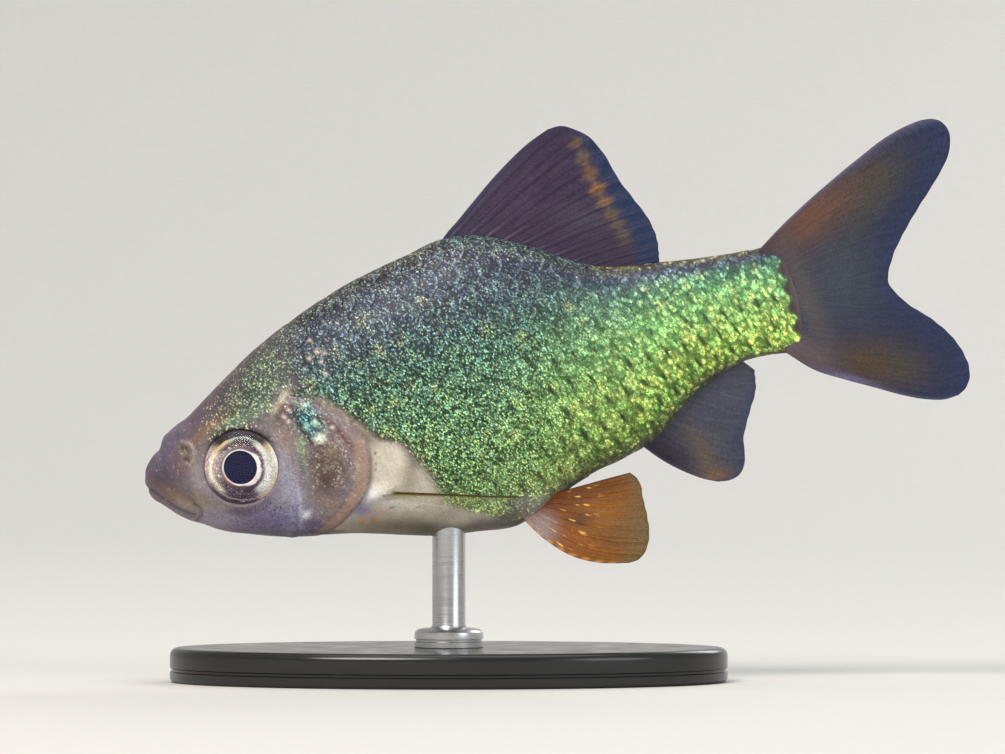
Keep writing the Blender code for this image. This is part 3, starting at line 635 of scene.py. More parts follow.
HEAD_PATCHES = (
    Patch(1.3, -0.2, 2.6, 2.3, 0, "#4b404f", 0.92),
    Patch(2.6, 2.2, 2.6, 0.75, 32, "#625673", 0.8),
    Patch(6.4, 4.3, 4.0, 0.95, 33, "#54454b", 0.85),
    Patch(10.4, 7.1, 3.4, 0.75, 27, "#544a4c", 0.8),
    Patch(5.2, 2.3, 1.9, 0.42, 24, "#8c654a", 0.7),
    Patch(3.45, 1.05, 0.55, 0.85, 0, "#63503f", 0.75),
    Patch(2.9, 0.2, 0.8, 0.8, -20, "#6d5650", 0.5),
    Patch(4.05, -0.9, 0.6, 1.8, 8, "#968b8e", 0.8),
    Patch(1.9, -1.75, 1.8, 0.55, -42, "#664a3d", 0.8),
    Patch(2.7, -2.75, 1.4, 0.38, -40, "#9a8c78", 0.65),
    Patch(3.3, -2.3, 1.0, 0.5, -35, "#7a6a54", 0.6),
    Patch(4.7, -3.3, 1.5, 0.5, -22, "#8c8069", 0.65),
    Patch(4.8, -4.3, 2.0, 0.7, -14, "#a297aa", 0.85),
    Patch(7.7, -4.95, 2.5, 1.05, -8, "#887da0", 0.88, 1.3),
    Patch(9.8, -5.75, 1.5, 0.95, -6, "#8a80ac", 0.8),
    Patch(8.7, -3.7, 1.0, 0.45, 30, "#8a80a2", 0.55),
    Patch(6.2, -4.15, 1.3, 0.35, -12, "#4d3f40", 0.6),
    Patch(10.1, -2.6, 0.85, 2.4, -8, "#a5a3b6", 0.85),
    Patch(10.5, -4.7, 0.5, 1.6, -14, "#b3b1d0", 0.75),
    Patch(10.9, 0.6, 0.95, 1.4, 0, "#857167", 0.75),
    Patch(11.45, 2.0, 0.9, 0.55, 20, "#43312f", 0.75),
    Patch(9.6, 4.4, 4.0, 1.65, 32, "#323d3d", 0.92, 1.6),
    Patch(12.6, 6.8, 2.4, 2.4, 30, "#45454a", 0.85, 1.3),
    Patch(8.2, 2.55, 2.5, 0.4, 12, "#5f7a66", 0.65),
    Patch(11.35, 3.05, 1.0, 0.19, 44, "#dfd8b4", 0.85),
    Patch(12.05, 3.4, 0.9, 0.16, -40, "#cfc8a6", 0.55),
    Patch(13.5, -2.4, 1.75, 2.2, 0, "#634e47", 0.95, 1.3),
    Patch(13.0, -3.6, 0.8, 1.2, -20, "#4b3835", 0.6),
    Patch(14.0, -1.4, 0.6, 0.8, 0, "#8a7468", 0.45),
    Patch(12.9, -5.3, 1.3, 0.7, -38, "#9a7c69", 0.6),
    Patch(12.2, -6.4, 0.9, 0.45, -18, "#b8938b", 0.55),
    Patch(10.95, -5.65, 0.42, 0.28, 30, "#fbf8ff", 0.9),
    Patch(10.75, -4.5, 0.14, 1.2, -12, "#e4e0f4", 0.75),
    Patch(11.35, -6.3, 0.9, 0.4, -10, "#57497a", 0.6),
    Patch(14.4, 4.6, 1.6, 1.8, 0, "#4d413e", 0.85),
    Patch(11.9, -0.9, 0.26, 1.3, -6, "#86ab86", 0.65),
    Patch(13.05, 1.4, 1.25, 1.75, 12, "#1c3c46", 0.97, 1.8),
    Patch(13.45, -0.4, 0.5, 0.34, 12, "#f6fdea", 0.98, 1.5),
    Patch(12.75, 0.75, 0.26, 0.2, 30, "#b9efe0", 0.9, 1.5),
    Patch(13.45, 0.85, 0.22, 0.28, 0, "#d9f5d8", 0.85, 1.5),
)
CREAM_SHOULDER, NAPE = "#d3cabb", "#403b3b"

SHOULDER_PATCHES = (
    Patch(18.4, -3.6, 1.3, 1.9, -25, "#ded4c4", 0.6),
    Patch(16.9, -1.3, 1.1, 0.5, -48, "#6f5f56", 0.75),
    Patch(19.8, -3.8, 0.6, 2.4, -28, "#84766c", 0.75),
    Patch(16.1, -5.45, 0.9, 0.5, 10, "#f4f2f8", 0.95),
    Patch(15.1, -6.35, 0.9, 0.6, -15, "#8a84b2", 0.85),
    Patch(16.5, -6.9, 0.8, 0.35, 0, "#c3a097", 0.65),
    Patch(14.8, -7.22, 0.22, 0.34, -15, "#e8a45c", 0.98, 1.5),
    Patch(15.75, -7.4, 0.2, 0.34, -15, "#e8a45c", 0.98, 1.5),
    Patch(18.3, -7.0, 1.6, 0.4, -15, "#ece6d6", 0.8),
    Patch(17.2, -6.3, 0.9, 0.22, -8, "#f6f0ea", 0.8),
    Patch(17.8, -8.4, 4.5, 0.85, -15, "#857b6a", 0.9),
    Patch(19.6, -7.9, 1.3, 0.3, -20, "#b3a894", 0.6),
    Patch(21.6, -8.2, 1.5, 0.5, -25, "#a49c8c", 0.7),
    Patch(23.0, -9.7, 3.6, 0.6, -8, "#77716c", 0.9),
    Patch(26.4, -9.0, 1.2, 0.8, 20, "#67616f", 0.75),
    Patch(28.2, -10.0, 1.4, 1.1, -35, "#958a97", 0.85),
    Patch(19.4, -9.0, 1.0, 0.45, -20, "#5c5348", 0.6),
    Patch(22.0, -9.1, 1.0, 0.35, -12, "#dcd5c0", 0.6),
    Patch(25.3, -9.9, 1.2, 0.45, 0, "#5a5356", 0.6),
    Patch(30.4, -8.7, 2.0, 0.5, 15, "#4d4a4c", 0.7),
)

DOTS = ((17.17, -2.52), (16.86, -3.69), (17.29, -6.76), (19.26, -7.28), (19.6, -7.3), (17.0, -3.3))
SPARKLES = ((14.9, 5.9), (14.55, 6.9), (15.0, 5.1), (15.1, 4.2), (14.2, 5.6), (15.4, 5.7), (11.3, 1.85),
            (11.75, 2.25), (11.5, 1.45), (12.9, 2.3), (14.6, 0.2))

# Level of the flank, ground colour, colour of the glints and how dense they are
FLANK_FRONT = (
    (0.00, "#7d796a", "#e2deba", 0.5), (0.03, "#8a9262", "#f2ffba", 1.1), (0.07, "#6b8046", "#e8ffb8", 1.3),
    (0.15, "#375030", "#cefea4", 1.16), (0.3, "#233e24", "#bdf3a0", 1.1), (0.46, "#203c2c", "#a4dfa0", 1.06),
    (0.6, "#22332f", "#86c09a", 0.97), (0.74, "#232b38", "#6c9094", 0.88), (0.9, "#25283a", "#6a748c", 0.8),
    (1.00, "#2b2a30", "#93927a", 0.8),
)
FLANK_REAR = (
    (0.00, "#46423a", "#c3cf8e", 0.6), (0.1, "#4e6a2b", "#d4f484", 1.2), (0.32, "#597f3b", "#dcfa92", 1.38),
    (0.6, "#558650", "#ccf8a2", 1.38), (0.8, "#3f6852", "#a4de9e", 1.22), (0.92, "#2e3348", "#6f84a0", 0.88),
    (1.00, "#4f4a34", "#cfc580", 0.95),
)


@dataclass(frozen=True)
class Markings:
    """The fish's colours by place, shared by the skin and the scales."""

    coat_front: Curve = (
        (-10.6, 26.3), (-9.6, 24.7), (-8.6, 23.0), (-7.5, 21.2), (-5.5, 20.55), (-4.0, 19.9), (-2.3, 18.9),
        (-1.5, 17.4), (0.0, 16.2), (1.3, 15.2), (2.2, 14.3), (3.2, 13.2), (4.6, 12.7), (6.5, 12.6), (9.5, 12.8),
    )
    rear_run: tuple[float, float] = (26.0, 40.0)

    def coat_start(self, height: Array) -> Array:
        """Distance from the snout where the scales begin, at heights of the side view."""
        table = np.array(self.coat_front)
        return np.interp(height, table[:, 0], table[:, 1])

    def ramp(self, table: tuple, level: Array) -> tuple[Array, Array, Array]:
        """Ground, glint and glitter at levels of the flank.

        Args:
            table: rows of level, ground colour, glint colour and density.
            level: shares of the height.

        Returns:
            The two colours and the density.
        """
        places = [row[0] for row in table]
        grounds = np.array([tint(row[1]) for row in table])
        glints = np.array([tint(row[2]) for row in table])
        ground = np.stack([np.interp(level, places, grounds[:, channel]) for channel in range(3)], axis=-1)
        glint = np.stack([np.interp(level, places, glints[:, channel]) for channel in range(3)], axis=-1)
        return ground, glint, np.interp(level, places, [row[3] for row in table])

    def at(self, points: Array) -> Marks:
        """Marks for points of the fish.

        Args:
            points: distance from the snout, side and height, in millimetres.

        Returns:
            The marks of every point.
        """
        along, height = points[:, 0], points[:, 2]
        level = BODY.level(along, height)
        angle = BODY.angle_of(along, height)
        front_ground, front_glint, front_dense = self.ramp(FLANK_FRONT, level)
        rear_ground, rear_glint, rear_dense = self.ramp(FLANK_REAR, level)
        rear = ease(*self.rear_run, along + 9.0 * (0.45 - level))
        ground = blend(front_ground, rear_ground, rear)
        glint = blend(front_glint, rear_glint, rear)
        glitter = front_dense + (rear_dense - front_dense) * rear
        coarse = ease(24.0, 42.0, along + 6.0 * (0.5 - level))
        # Painted light: the lower tail stalk is painted lighter, against the shade that falls on its underside.
        painted_shading = 0.45 * ease(41.0, 46.0, along) * (1.0 - ease(0.08, 0.42, level))
        ground, glint = (layer * (1.0 + painted_shading)[:, None] for layer in (ground, glint))
        crest = ease(0.92, 1.0, level) * ease(25.0, 27.0, along) * (1.0 - ease(35.0, 37.5, along))
        ground = brush(ground, "#2c2f38", crest)
        glint = brush(glint, "#86a8a4", crest)

        coat = along - self.coat_start(height)
        nape = ease(1.6, 3.4, height)
        on_coat = ease(-0.45, 0.65, coat / (1.0 + 2.2 * nape))
        border = bell(coat - 0.1, 0.75) * ease(-8.0, -5.0, height) * (1.0 - nape)
        ground = brush(ground, "#544540", 0.8 * border)
        glint = brush(glint, "#cdbfae", 0.5 * border)
        glitter = glitter * (on_coat + 0.6 * nape * (1.0 - on_coat)) * (1.0 - 0.35 * border)

        shoulder = blend(np.broadcast_to(tint(CREAM_SHOULDER), ground.shape), tint(NAPE), nape)
        for patch in SHOULDER_PATCHES:
            weight = patch.weight(along, height) * (1.0 - 0.9 * ease(0.2, 1.4, coat) * (height > -8.0))
            shoulder = brush(shoulder, patch.colour, weight)
            if patch.along > 22.0:
                ground = brush(ground, patch.colour, weight)
                glitter = glitter * (1.0 - 0.8 * weight)
        for place in DOTS:
            shoulder = brush(shoulder, "#2a2320", 0.9 * bell(np.hypot(along - place[0], height - place[1]), 0.1))
        ground = blend(shoulder, ground, on_coat)

        head = self.head(along, height, level)
        behind = along - RIM.at(angle)
        rim_open = RIM.strength(angle)
        on_head = 1.0 - np.where(rim_open > 0.5, ease(-0.02, 0.06, behind), ease(-0.6, 2.2, behind))
        ground = blend(ground, head[0], on_head)
        glint = blend(glint, head[1], on_head)
        glitter = glitter * (1.0 - on_head) + head[2] * on_head
        coarse = coarse * (1.0 - on_head) + head[3] * on_head
        for place in SPARKLES:
            spot = 0.9 * bell(np.hypot(along - place[0], height - place[1]), 0.15)
            ground = brush(ground, "#f0d3c9", spot)
        # Painted shadow: the skin just behind the open gill rim is painted darker, as the cover's shade on it.
        shade = 0.22 * rim_open * bell(np.clip(behind, 0.0, None), 0.22) * (behind > 0.0)
        ground = ground * (1.0 - shade[:, None])

        stalk = ease(49.9, 50.3, along + 0.22 * np.cos(height * 4.2))
        ground = blend(ground, blend(tint("#43363a"), tint("#5a5251"), ease(50.3, 50.8, along)), stalk)
        glitter = glitter * (1.0 - stalk)
        grain = np.stack([along + 0.28 * height, points[:, 1], height], axis=-1)
        return Marks(ground, glint, glitter, coarse, grain)

    def head(self, along: Array, height: Array, level: Array) -> tuple[Array, Array, Array, Array]:
        """Colours of the head.

        Args:
            along: distance of each point from the snout.
            height: height of each point.
            level: height as a share of the section.

        Returns:
            Ground, glint, glitter and coarseness.
        """
        tints = np.array([tint(row[1]) for row in HEAD_RAMP])
        places = [row[0] for row in HEAD_RAMP]
        ground = np.stack([np.interp(level, places, tints[:, channel]) for channel in range(3)], axis=-1)
        for patch in HEAD_PATCHES:
            ground = brush(ground, patch.colour, patch.weight(along, height))
        angle = BODY.angle_of(along, height)
        behind = along - RIM.at(angle)
        rim = RIM.strength(angle)
        band = bell(behind + 0.62, 0.5) * rim
        upper = ease(-2.2, 0.4, height)
        ground = brush(ground, "#b0917c", 0.85 * band * (1.0 - upper))
        ground = brush(ground, "#8f7f84", 0.75 * band * upper)
        ground = brush(ground, "#5f3039", 0.8 * bell(behind + 1.3, 0.26) * rim * ease(-3.2, -0.6, height))
        ground = brush(ground, "#8a6a5a", 0.4 * bell(behind + 0.02, 0.16) * rim)
        # Painted shade: the mouth's slit, the jaw's corner, the nostril pits and the grooves of the cheek and the
        # bone edge are painted darker.
        gap, signed, share = line_distance(RELIEF.mouth, along, height)
        ground = brush(ground, "#3a2622", 0.4 * bell(gap, 0.12) * (1.0 - ease(0.96, 1.0, share)))
        ground = brush(ground, "#8b6a58", 0.35 * bell(signed + 0.42, 0.25) * (along < 3.0))
        gap, _, _ = line_distance(RELIEF.jaw_end, along, height)
        ground = brush(ground, "#3a2b28", 0.5 * bell(gap, 0.15))
        for place in RELIEF.nostrils:
            ground = brush(ground, "#3a2922", 0.65 * bell(np.hypot(along - place[0], height - place[1]), 0.24))
        gap, _, _ = line_distance(RELIEF.nostril_flap, along, height)
        ground = brush(ground, "#9c908d", 0.6 * bell(gap, 0.12))
        gap, _, _ = line_distance(RELIEF.cheek_edge, along, height)
        ground = brush(ground, "#5a4b57", 0.25 * bell(gap, 0.16))
        gap, _, _ = line_distance(RELIEF.bone_edge, along, height)
        ground = brush(ground, "#33201f", 0.8 * bell(gap, 0.18))
        # The orbit's wall and a ring round it take a muted mauve that turns to painted shade at the top, under the
        # brow.
        reach = np.hypot(along - RELIEF.eye[0], height - RELIEF.eye[1])
        brow = ease(1.0, 2.2, height - RELIEF.eye[1] + 0.26 * (along - RELIEF.eye[0]))
        orbit_colour_and_brow_shade = blend(np.broadcast_to(tint("#7d7078"), ground.shape), tint("#2a2128"), brow)
        halo = bell(np.clip(reach - 2.9, 0.0, None), 0.18 + 0.14 * brow)
        ground = blend(ground, orbit_colour_and_brow_shade, (0.45 + 0.45 * brow) * halo)
        ground = np.where((reach < 2.9)[:, None], orbit_colour_and_brow_shade, ground)

        crown = Patch(9.6, 4.4, 4.2, 1.75, 32, "#000000", 1.0, 1.6).weight(along, height)
        crown = crown + Patch(12.8, 6.8, 2.6, 3.0, 30, "#000000", 0.8).weight(along, height)
        teal = Patch(13.05, 1.4, 1.25, 1.75, 12, "#000000", 1.0, 1.6).weight(along, height)
        lid = Patch(8.4, 2.5, 2.8, 0.6, 10, "#000000", 0.9).weight(along, height)
        gold = Patch(5.6, 2.7, 3.0, 1.0, 30, "#000000", 0.5).weight(along, height)
        pit = Patch(3.3, 1.55, 0.4, 0.35, 30, "#000000", 0.9).weight(along, height)
        cheek = Patch(12.0, -0.9, 0.45, 1.6, -5, "#000000", 0.7).weight(along, height)
        plate = Patch(13.9, -1.7, 1.7, 2.5, 0, "#000000", 1.0, 1.5).weight(along, height)
        glint = np.broadcast_to(tint("#d3bfae"), ground.shape)
        glint = brush(glint, "#97ae84", np.clip(crown + lid + pit, 0.0, 1.0))
        glint = brush(glint, "#d6ccba", plate)
        glint = brush(glint, "#8ad6d2", np.clip(teal, 0.0, 1.0))
        glint = brush(glint, "#a6d49c", np.clip(cheek, 0.0, 1.0))
        glint = brush(glint, "#cfa35f", gold)
        glitter = 0.12 + 0.14 * ease(3.5, 8.0, along) + 0.5 * np.clip(crown, 0.0, 1.0) + 0.42 * plate
        glitter = glitter + 0.8 * teal + 0.6 * lid + 0.3 * gold + 0.6 * pit + 0.5 * cheek
        violet = Patch(8.2, -4.8, 3.3, 1.5, -8, "#000000", 1.0, 1.4).weight(along, height)
        violet = np.maximum(violet, Patch(10.2, -2.2, 1.2, 2.6, -8, "#000000", 0.55).weight(along, height))
        glint = brush(glint, "#150e1e", np.clip(1.6 * violet, 0.0, 1.0))
        glitter = np.clip(glitter, 0.0, 1.0) * (1.0 - violet) + 0.62 * violet
        return ground, glint, glitter * (reach > 2.9), 0.12 * teal + 0.2 * cheek + 0.5 * plate * (1.0 - teal)


MARKINGS = Markings()


@dataclass(frozen=True)
class GuanineSkin:
    """Living fish skin: guanine platelets that glint in a dark pigment ground, under clear wet mucus.

    The platelets are far smaller than a render shows, so they are drawn as specks as coarse as the
    clusters of them that the eye makes out, about 0.15 mm, and larger towards the tail.
    """

    name: str
    speck: tuple[float, float, float] = (0.112, 0.14, 0.165)
    blotch: tuple[float, float, float] = (0.33, 0.34, 0.46)
    clump: float = 0.9
    relief: float = 0.035
    roughness: float = 0.52
    wet: float = 0.09
    mottle: float = 0.16
    stray: float = 0.3

    def specks(self, tree: NodeTree, place: NodeSocket, sizes: tuple[float, float, float],
               floor: NodeSocket) -> tuple[NodeSocket, Node]:
        """Scatter lit platelets of one size.

        Args:
            tree: the node tree.
            place: the place on the fish, in millimetres.
            sizes: size of a platelet along each direction, in millimetres.
            floor: the draw from which a platelet is lit.

        Returns:
            How lit the point is, and the platelet's random draws.
        """
        scaled = add(tree, "ShaderNodeVectorMath", {0: place, 1: tuple(1.0 / size for size in sizes)},
                     operation="MULTIPLY")
        cells = add(tree, "ShaderNodeTexVoronoi", {"Vector": scaled, "Scale": 1.0})
        draws = add(tree, "ShaderNodeSeparateColor", {0: cells.outputs["Color"]})
        ceiling = add(tree, "ShaderNodeMath", {0: floor, 1: 0.55}, operation="ADD")
        lit = add(tree, "ShaderNodeMapRange", {0: draws, 1: floor, 2: ceiling})
        round_off = add(tree, "ShaderNodeMapRange", {0: cells.outputs["Distance"], 1: 0.26, 2: 0.72, 3: 1.0, 4: 0.08})
        speck = add(tree, "ShaderNodeMath", {0: lit, 1: round_off}, operation="MULTIPLY")
        return speck.outputs[0], draws

    def material(self) -> Material:
        """Build the material from the marks on the mesh."""
        material, tree = new_material(self.name)
        grain, ground, glint, glitter, coarse = mark_sockets(tree, *MARK_OUTPUTS)

        sway = 1.2 * self.speck[0]
        wander = add(tree, "ShaderNodeTexNoise", {"Vector": grain, "Scale": 0.9 / self.speck[0], "Detail": 1.0})
        bent = add(tree, "ShaderNodeVectorMath", {0: wander.outputs["Color"], 1: (sway, sway, sway), 2: grain},
                   operation="MULTIPLY_ADD").outputs[0]
        clumps = add(tree, "ShaderNodeTexNoise", {"Vector": grain, "Scale": 1.0 / self.clump, "Detail": 3.0})
        bias = add(tree, "ShaderNodeMapRange", {0: clumps, 1: 0.3, 2: 0.7, 3: -0.2, 4: 0.2})
        dense = add(tree, "ShaderNodeMath", {0: glitter, 1: 0.74, 2: bias}, operation="MULTIPLY_ADD")
        floor = add(tree, "ShaderNodeMath", {0: 1.0, 1: dense}, operation="SUBTRACT")
        small, draws = self.specks(tree, bent, self.speck, floor.outputs[0])
        large, large_draws = self.specks(tree, bent, self.blotch, floor.outputs[0])
        joined = add(tree, "ShaderNodeMath", {0: large, 1: small}, operation="MULTIPLY")
        plain = add(tree, "ShaderNodeMath", {0: large, 1: 0.45}, operation="MULTIPLY")
        lumpy = add(tree, "ShaderNodeMath", {0: joined, 1: 1.38, 2: plain},
                    operation="MULTIPLY_ADD")
        speck = add(tree, "ShaderNodeMix", {0: coarse, 2: small, 3: lumpy})
        any_glitter = add(tree, "ShaderNodeMath", {0: glitter, 1: 0.02}, operation="GREATER_THAN")
        shown = add(tree, "ShaderNodeMath", {0: speck, 1: any_glitter}, operation="MULTIPLY",
                    use_clamp=True)

        tone = add(tree, "ShaderNodeMix", {0: coarse, 2: draws.outputs[1], 3: large_draws.outputs[1]})
        lowest = add(tree, "ShaderNodeMapRange", {0: coarse, 3: 0.455, 4: 0.45})
        highest = add(tree, "ShaderNodeMapRange", {0: coarse, 3: 0.555, 4: 0.56})
        hue = add(tree, "ShaderNodeMapRange", {0: tone, 3: lowest, 4: highest})
        brightest = add(tree, "ShaderNodeMapRange", {0: coarse, 3: 2.2, 4: 1.72})
        value = add(tree, "ShaderNodeMapRange", {0: draws.outputs[2], 3: 0.5, 4: brightest})
        either = add(tree, "ShaderNodeMix", {0: draws.outputs[1], 6: linear("#c3cf6a"), 7: linear("#4f8fc4")},
                     data_type="RGBA")
        share = add(tree, "ShaderNodeMapRange", {0: coarse, 3: self.stray, 4: 0.3 * self.stray})
        mixed = add(tree, "ShaderNodeMix", {0: share, 6: glint, 7: either.outputs[2]}, data_type="RGBA")
        flake = add(tree, "ShaderNodeHueSaturation",
                    {"Hue": hue, "Saturation": 1.08, "Value": value, "Color": mixed.outputs[2]})
        fine = add(tree, "ShaderNodeTexNoise", {"Vector": grain, "Scale": 1.0 / self.mottle, "Detail": 4.0})
        darkest = add(tree, "ShaderNodeMapRange", {0: glitter, 3: 0.86, 4: 0.54})
        lightest = add(tree, "ShaderNodeMapRange", {0: glitter, 3: 1.14, 4: 1.44})
        depth = add(tree, "ShaderNodeMapRange",
                    {0: fine, 1: 0.3, 2: 0.7, 3: darkest, 4: lightest})
        dimmed = add(tree, "ShaderNodeMapRange", {0: glitter, 2: 0.5, 3: 0.9, 4: 0.7})
        pepper = add(tree, "ShaderNodeMapRange",
                     {0: draws.outputs[2], 1: 0.0, 2: 0.24, 3: dimmed, 4: 1.02})
        both = add(tree, "ShaderNodeMath", {0: depth, 1: pepper}, operation="MULTIPLY")
        cloudy = add(tree, "ShaderNodeMapRange", {0: clumps, 1: 0.3, 2: 0.7, 3: 0.88, 4: 1.12})
        uneven = add(tree, "ShaderNodeMath", {0: both, 1: cloudy}, operation="MULTIPLY")
        pigment = add(tree, "ShaderNodeVectorMath", {0: ground, "Scale": uneven}, operation="SCALE")
        colour = add(tree, "ShaderNodeMix", {0: shown, 6: pigment, 7: flake},
                     data_type="RGBA")

        gloss = add(tree, "ShaderNodeMapRange", {0: shown, 3: self.roughness, 4: self.roughness - 0.14})
        metal = add(tree, "ShaderNodeMapRange", {0: shown, 3: 0.0, 4: 0.3})
        rise = add(tree, "ShaderNodeMath", {0: shown, 1: 0.5, 2: fine}, operation="MULTIPLY_ADD")
        bump = add(tree, "ShaderNodeBump",
                   {"Height": rise, "Strength": 0.6, "Distance": self.relief * MM})
        shader = add(tree, "ShaderNodeBsdfPrincipled",
                     {"Base Color": colour.outputs[2], "Roughness": gloss, "Metallic": metal,
                      "Normal": bump, "IOR": 1.4, "Specular IOR Level": 0.35,
                      "Coat Weight": self.wet, "Coat Roughness": 0.22})
        add(tree, "ShaderNodeOutputMaterial", {"Surface": shader})
        return material


@dataclass(frozen=True)
class FinMembrane:
    """Fin skin stretched over bony rays: pigment in streaks along the rays, finely stippled.

    The stipple stands for pigment cells of about 0.05 mm, drawn at 0.09 mm so that it shows.
    """

    name: str
    stipple: float = 0.09
    streak: float = 0.22
    roughness: float = 0.46
    clear: bool = False

    def material(self) -> Material:
        """Build the material from the marks on the mesh."""
        material, tree = new_material(self.name)
        grain, ground, cover = mark_sockets(tree, "grain", "ground", "coarse")
        drawn_out = add(tree, "ShaderNodeVectorMath", {0: grain, 1: (1.0 / self.streak, 0.35, 1.0)},
                        operation="MULTIPLY")
        streaks = add(tree, "ShaderNodeTexNoise", {"Vector": drawn_out, "Scale": 1.0, "Detail": 3.0})
        dots = add(tree, "ShaderNodeTexVoronoi", {"Vector": grain, "Scale": 1.0 / self.stipple})
        chance = add(tree, "ShaderNodeSeparateColor", {0: dots.outputs["Color"]})
        shade = add(tree, "ShaderNodeMapRange", {0: streaks, 1: 0.3, 2: 0.7, 3: 0.87, 4: 1.13})
        fleck = add(tree, "ShaderNodeMapRange", {0: chance, 3: 0.78, 4: 1.22})
        both = add(tree, "ShaderNodeMath", {0: shade, 1: fleck}, operation="MULTIPLY")
        base = add(tree, "ShaderNodeVectorMath", {0: ground, "Scale": both}, operation="SCALE")
        bump = add(tree, "ShaderNodeBump",
                   {"Height": streaks, "Strength": 0.25, "Distance": 0.02 * MM})
        inputs = {"Base Color": base, "Roughness": self.roughness, "Normal": bump,
                  "IOR": 1.4, "Specular IOR Level": 0.18, "Coat Weight": 0.04, "Coat Roughness": 0.25}
        if self.clear:
            inputs["Alpha"] = cover
        shader = add(tree, "ShaderNodeBsdfPrincipled", inputs)
        add(tree, "ShaderNodeOutputMaterial", {"Surface": shader})
        return material


@dataclass(frozen=True)
class CorneaFilm:
    """Clear cornea, smooth and wet: all that shows of it is the soft highlight of the lamps."""

    name: str = "clear_wet_cornea"
    ior: float = 1.376
    shine: float = 0.05

    def material(self) -> Material:
        """Build the material."""
        material, tree = new_material(self.name)
        shader = add(tree, "ShaderNodeBsdfPrincipled",
                     {"Base Color": linear("#101014"), "Roughness": 0.05, "IOR": self.ior, "Alpha": self.shine,
                      "Coat Weight": 1.0, "Coat Roughness": 0.03})
        add(tree, "ShaderNodeOutputMaterial", {"Surface": shader})
        return material


@dataclass(frozen=True)
class PolishedAcrylic:
    """Cast black acrylic, polished: near black, with a soft mirror and faint wiping marks."""

    name: str = "polished_black_acrylic"
    colour: str = "#17181a"
    haze: float = 2.5

    def material(self) -> Material:
        """Build the material."""
        material, tree = new_material(self.name)
        place = add(tree, "ShaderNodeTexCoord").outputs["Object"]
        marks = add(tree, "ShaderNodeTexNoise", {"Vector": place, "Scale": 1.0 / (self.haze * MM), "Detail": 5.0})
        gloss = add(tree, "ShaderNodeMapRange", {0: marks, 1: 0.35, 2: 0.65, 3: 0.16, 4: 0.26})
        tone = add(tree, "ShaderNodeMapRange", {0: marks, 1: 0.3, 2: 0.7, 3: 0.92, 4: 1.1})
        colour = add(tree, "ShaderNodeVectorMath", {0: linear(self.colour)[:3], "Scale": tone},
                     operation="SCALE")
        bump = add(tree, "ShaderNodeBump", {"Height": marks, "Strength": 0.1, "Distance": 0.02 * MM})
        shader = add(tree, "ShaderNodeBsdfPrincipled",
                     {"Base Color": colour, "Roughness": gloss, "IOR": 1.49,
                      "Normal": bump})
        add(tree, "ShaderNodeOutputMaterial", {"Surface": shader})
        return material


@dataclass(frozen=True)
class TurnedSteel:
    """Stainless steel turned on a lathe: bright, with fine rings 0.12 mm apart round the rod."""

    name: str = "turned_stainless_steel"
    colour: str = "#b9bbbd"
    ring: float = 0.12

    def material(self) -> Material:
        """Build the material."""
        material, tree = new_material(self.name)
        place = add(tree, "ShaderNodeTexCoord").outputs["Object"]
        drawn = add(tree, "ShaderNodeVectorMath", {0: place, 1: (150.0, 150.0, 1.0 / (self.ring * MM))},
                    operation="MULTIPLY")
        rings = add(tree, "ShaderNodeTexNoise", {"Vector": drawn, "Scale": 1.0, "Detail": 2.0})
        gloss = add(tree, "ShaderNodeMapRange", {0: rings, 1: 0.3, 2: 0.7, 3: 0.25, 4: 0.34})
        tone = add(tree, "ShaderNodeMapRange", {0: rings, 1: 0.3, 2: 0.7, 3: 0.94, 4: 1.05})
        colour = add(tree, "ShaderNodeVectorMath", {0: linear(self.colour)[:3], "Scale": tone},
                     operation="SCALE")
        bump = add(tree, "ShaderNodeBump", {"Height": rings, "Strength": 0.12, "Distance": 0.02 * MM})
        shader = add(tree, "ShaderNodeBsdfPrincipled",
                     {"Base Color": colour, "Roughness": gloss, "Metallic": 1.0,
                      "Normal": bump})
        add(tree, "ShaderNodeOutputMaterial", {"Surface": shader})
        return material


@dataclass(frozen=True)
class MattePaper:
    """Seamless background paper: pale, matte and even, with a trace of fibre."""

    name: str = "pale_background_paper"
    colour: str = "#d4d2ce"

    def material(self) -> Material:
        """Build the material."""
        material, tree = new_material(self.name)
        place = add(tree, "ShaderNodeTexCoord").outputs["Object"]
        fibre = add(tree, "ShaderNodeTexNoise", {"Vector": place, "Scale": 900.0, "Detail": 2.0})
        tone = add(tree, "ShaderNodeMapRange", {0: fibre, 1: 0.3, 2: 0.7, 3: 0.985, 4: 1.015})
        colour = add(tree, "ShaderNodeVectorMath", {0: linear(self.colour)[:3], "Scale": tone},
                     operation="SCALE")
        shader = add(tree, "ShaderNodeBsdfPrincipled", {"Base Color": colour, "Roughness": 0.85})
        add(tree, "ShaderNodeOutputMaterial", {"Surface": shader})
        return material


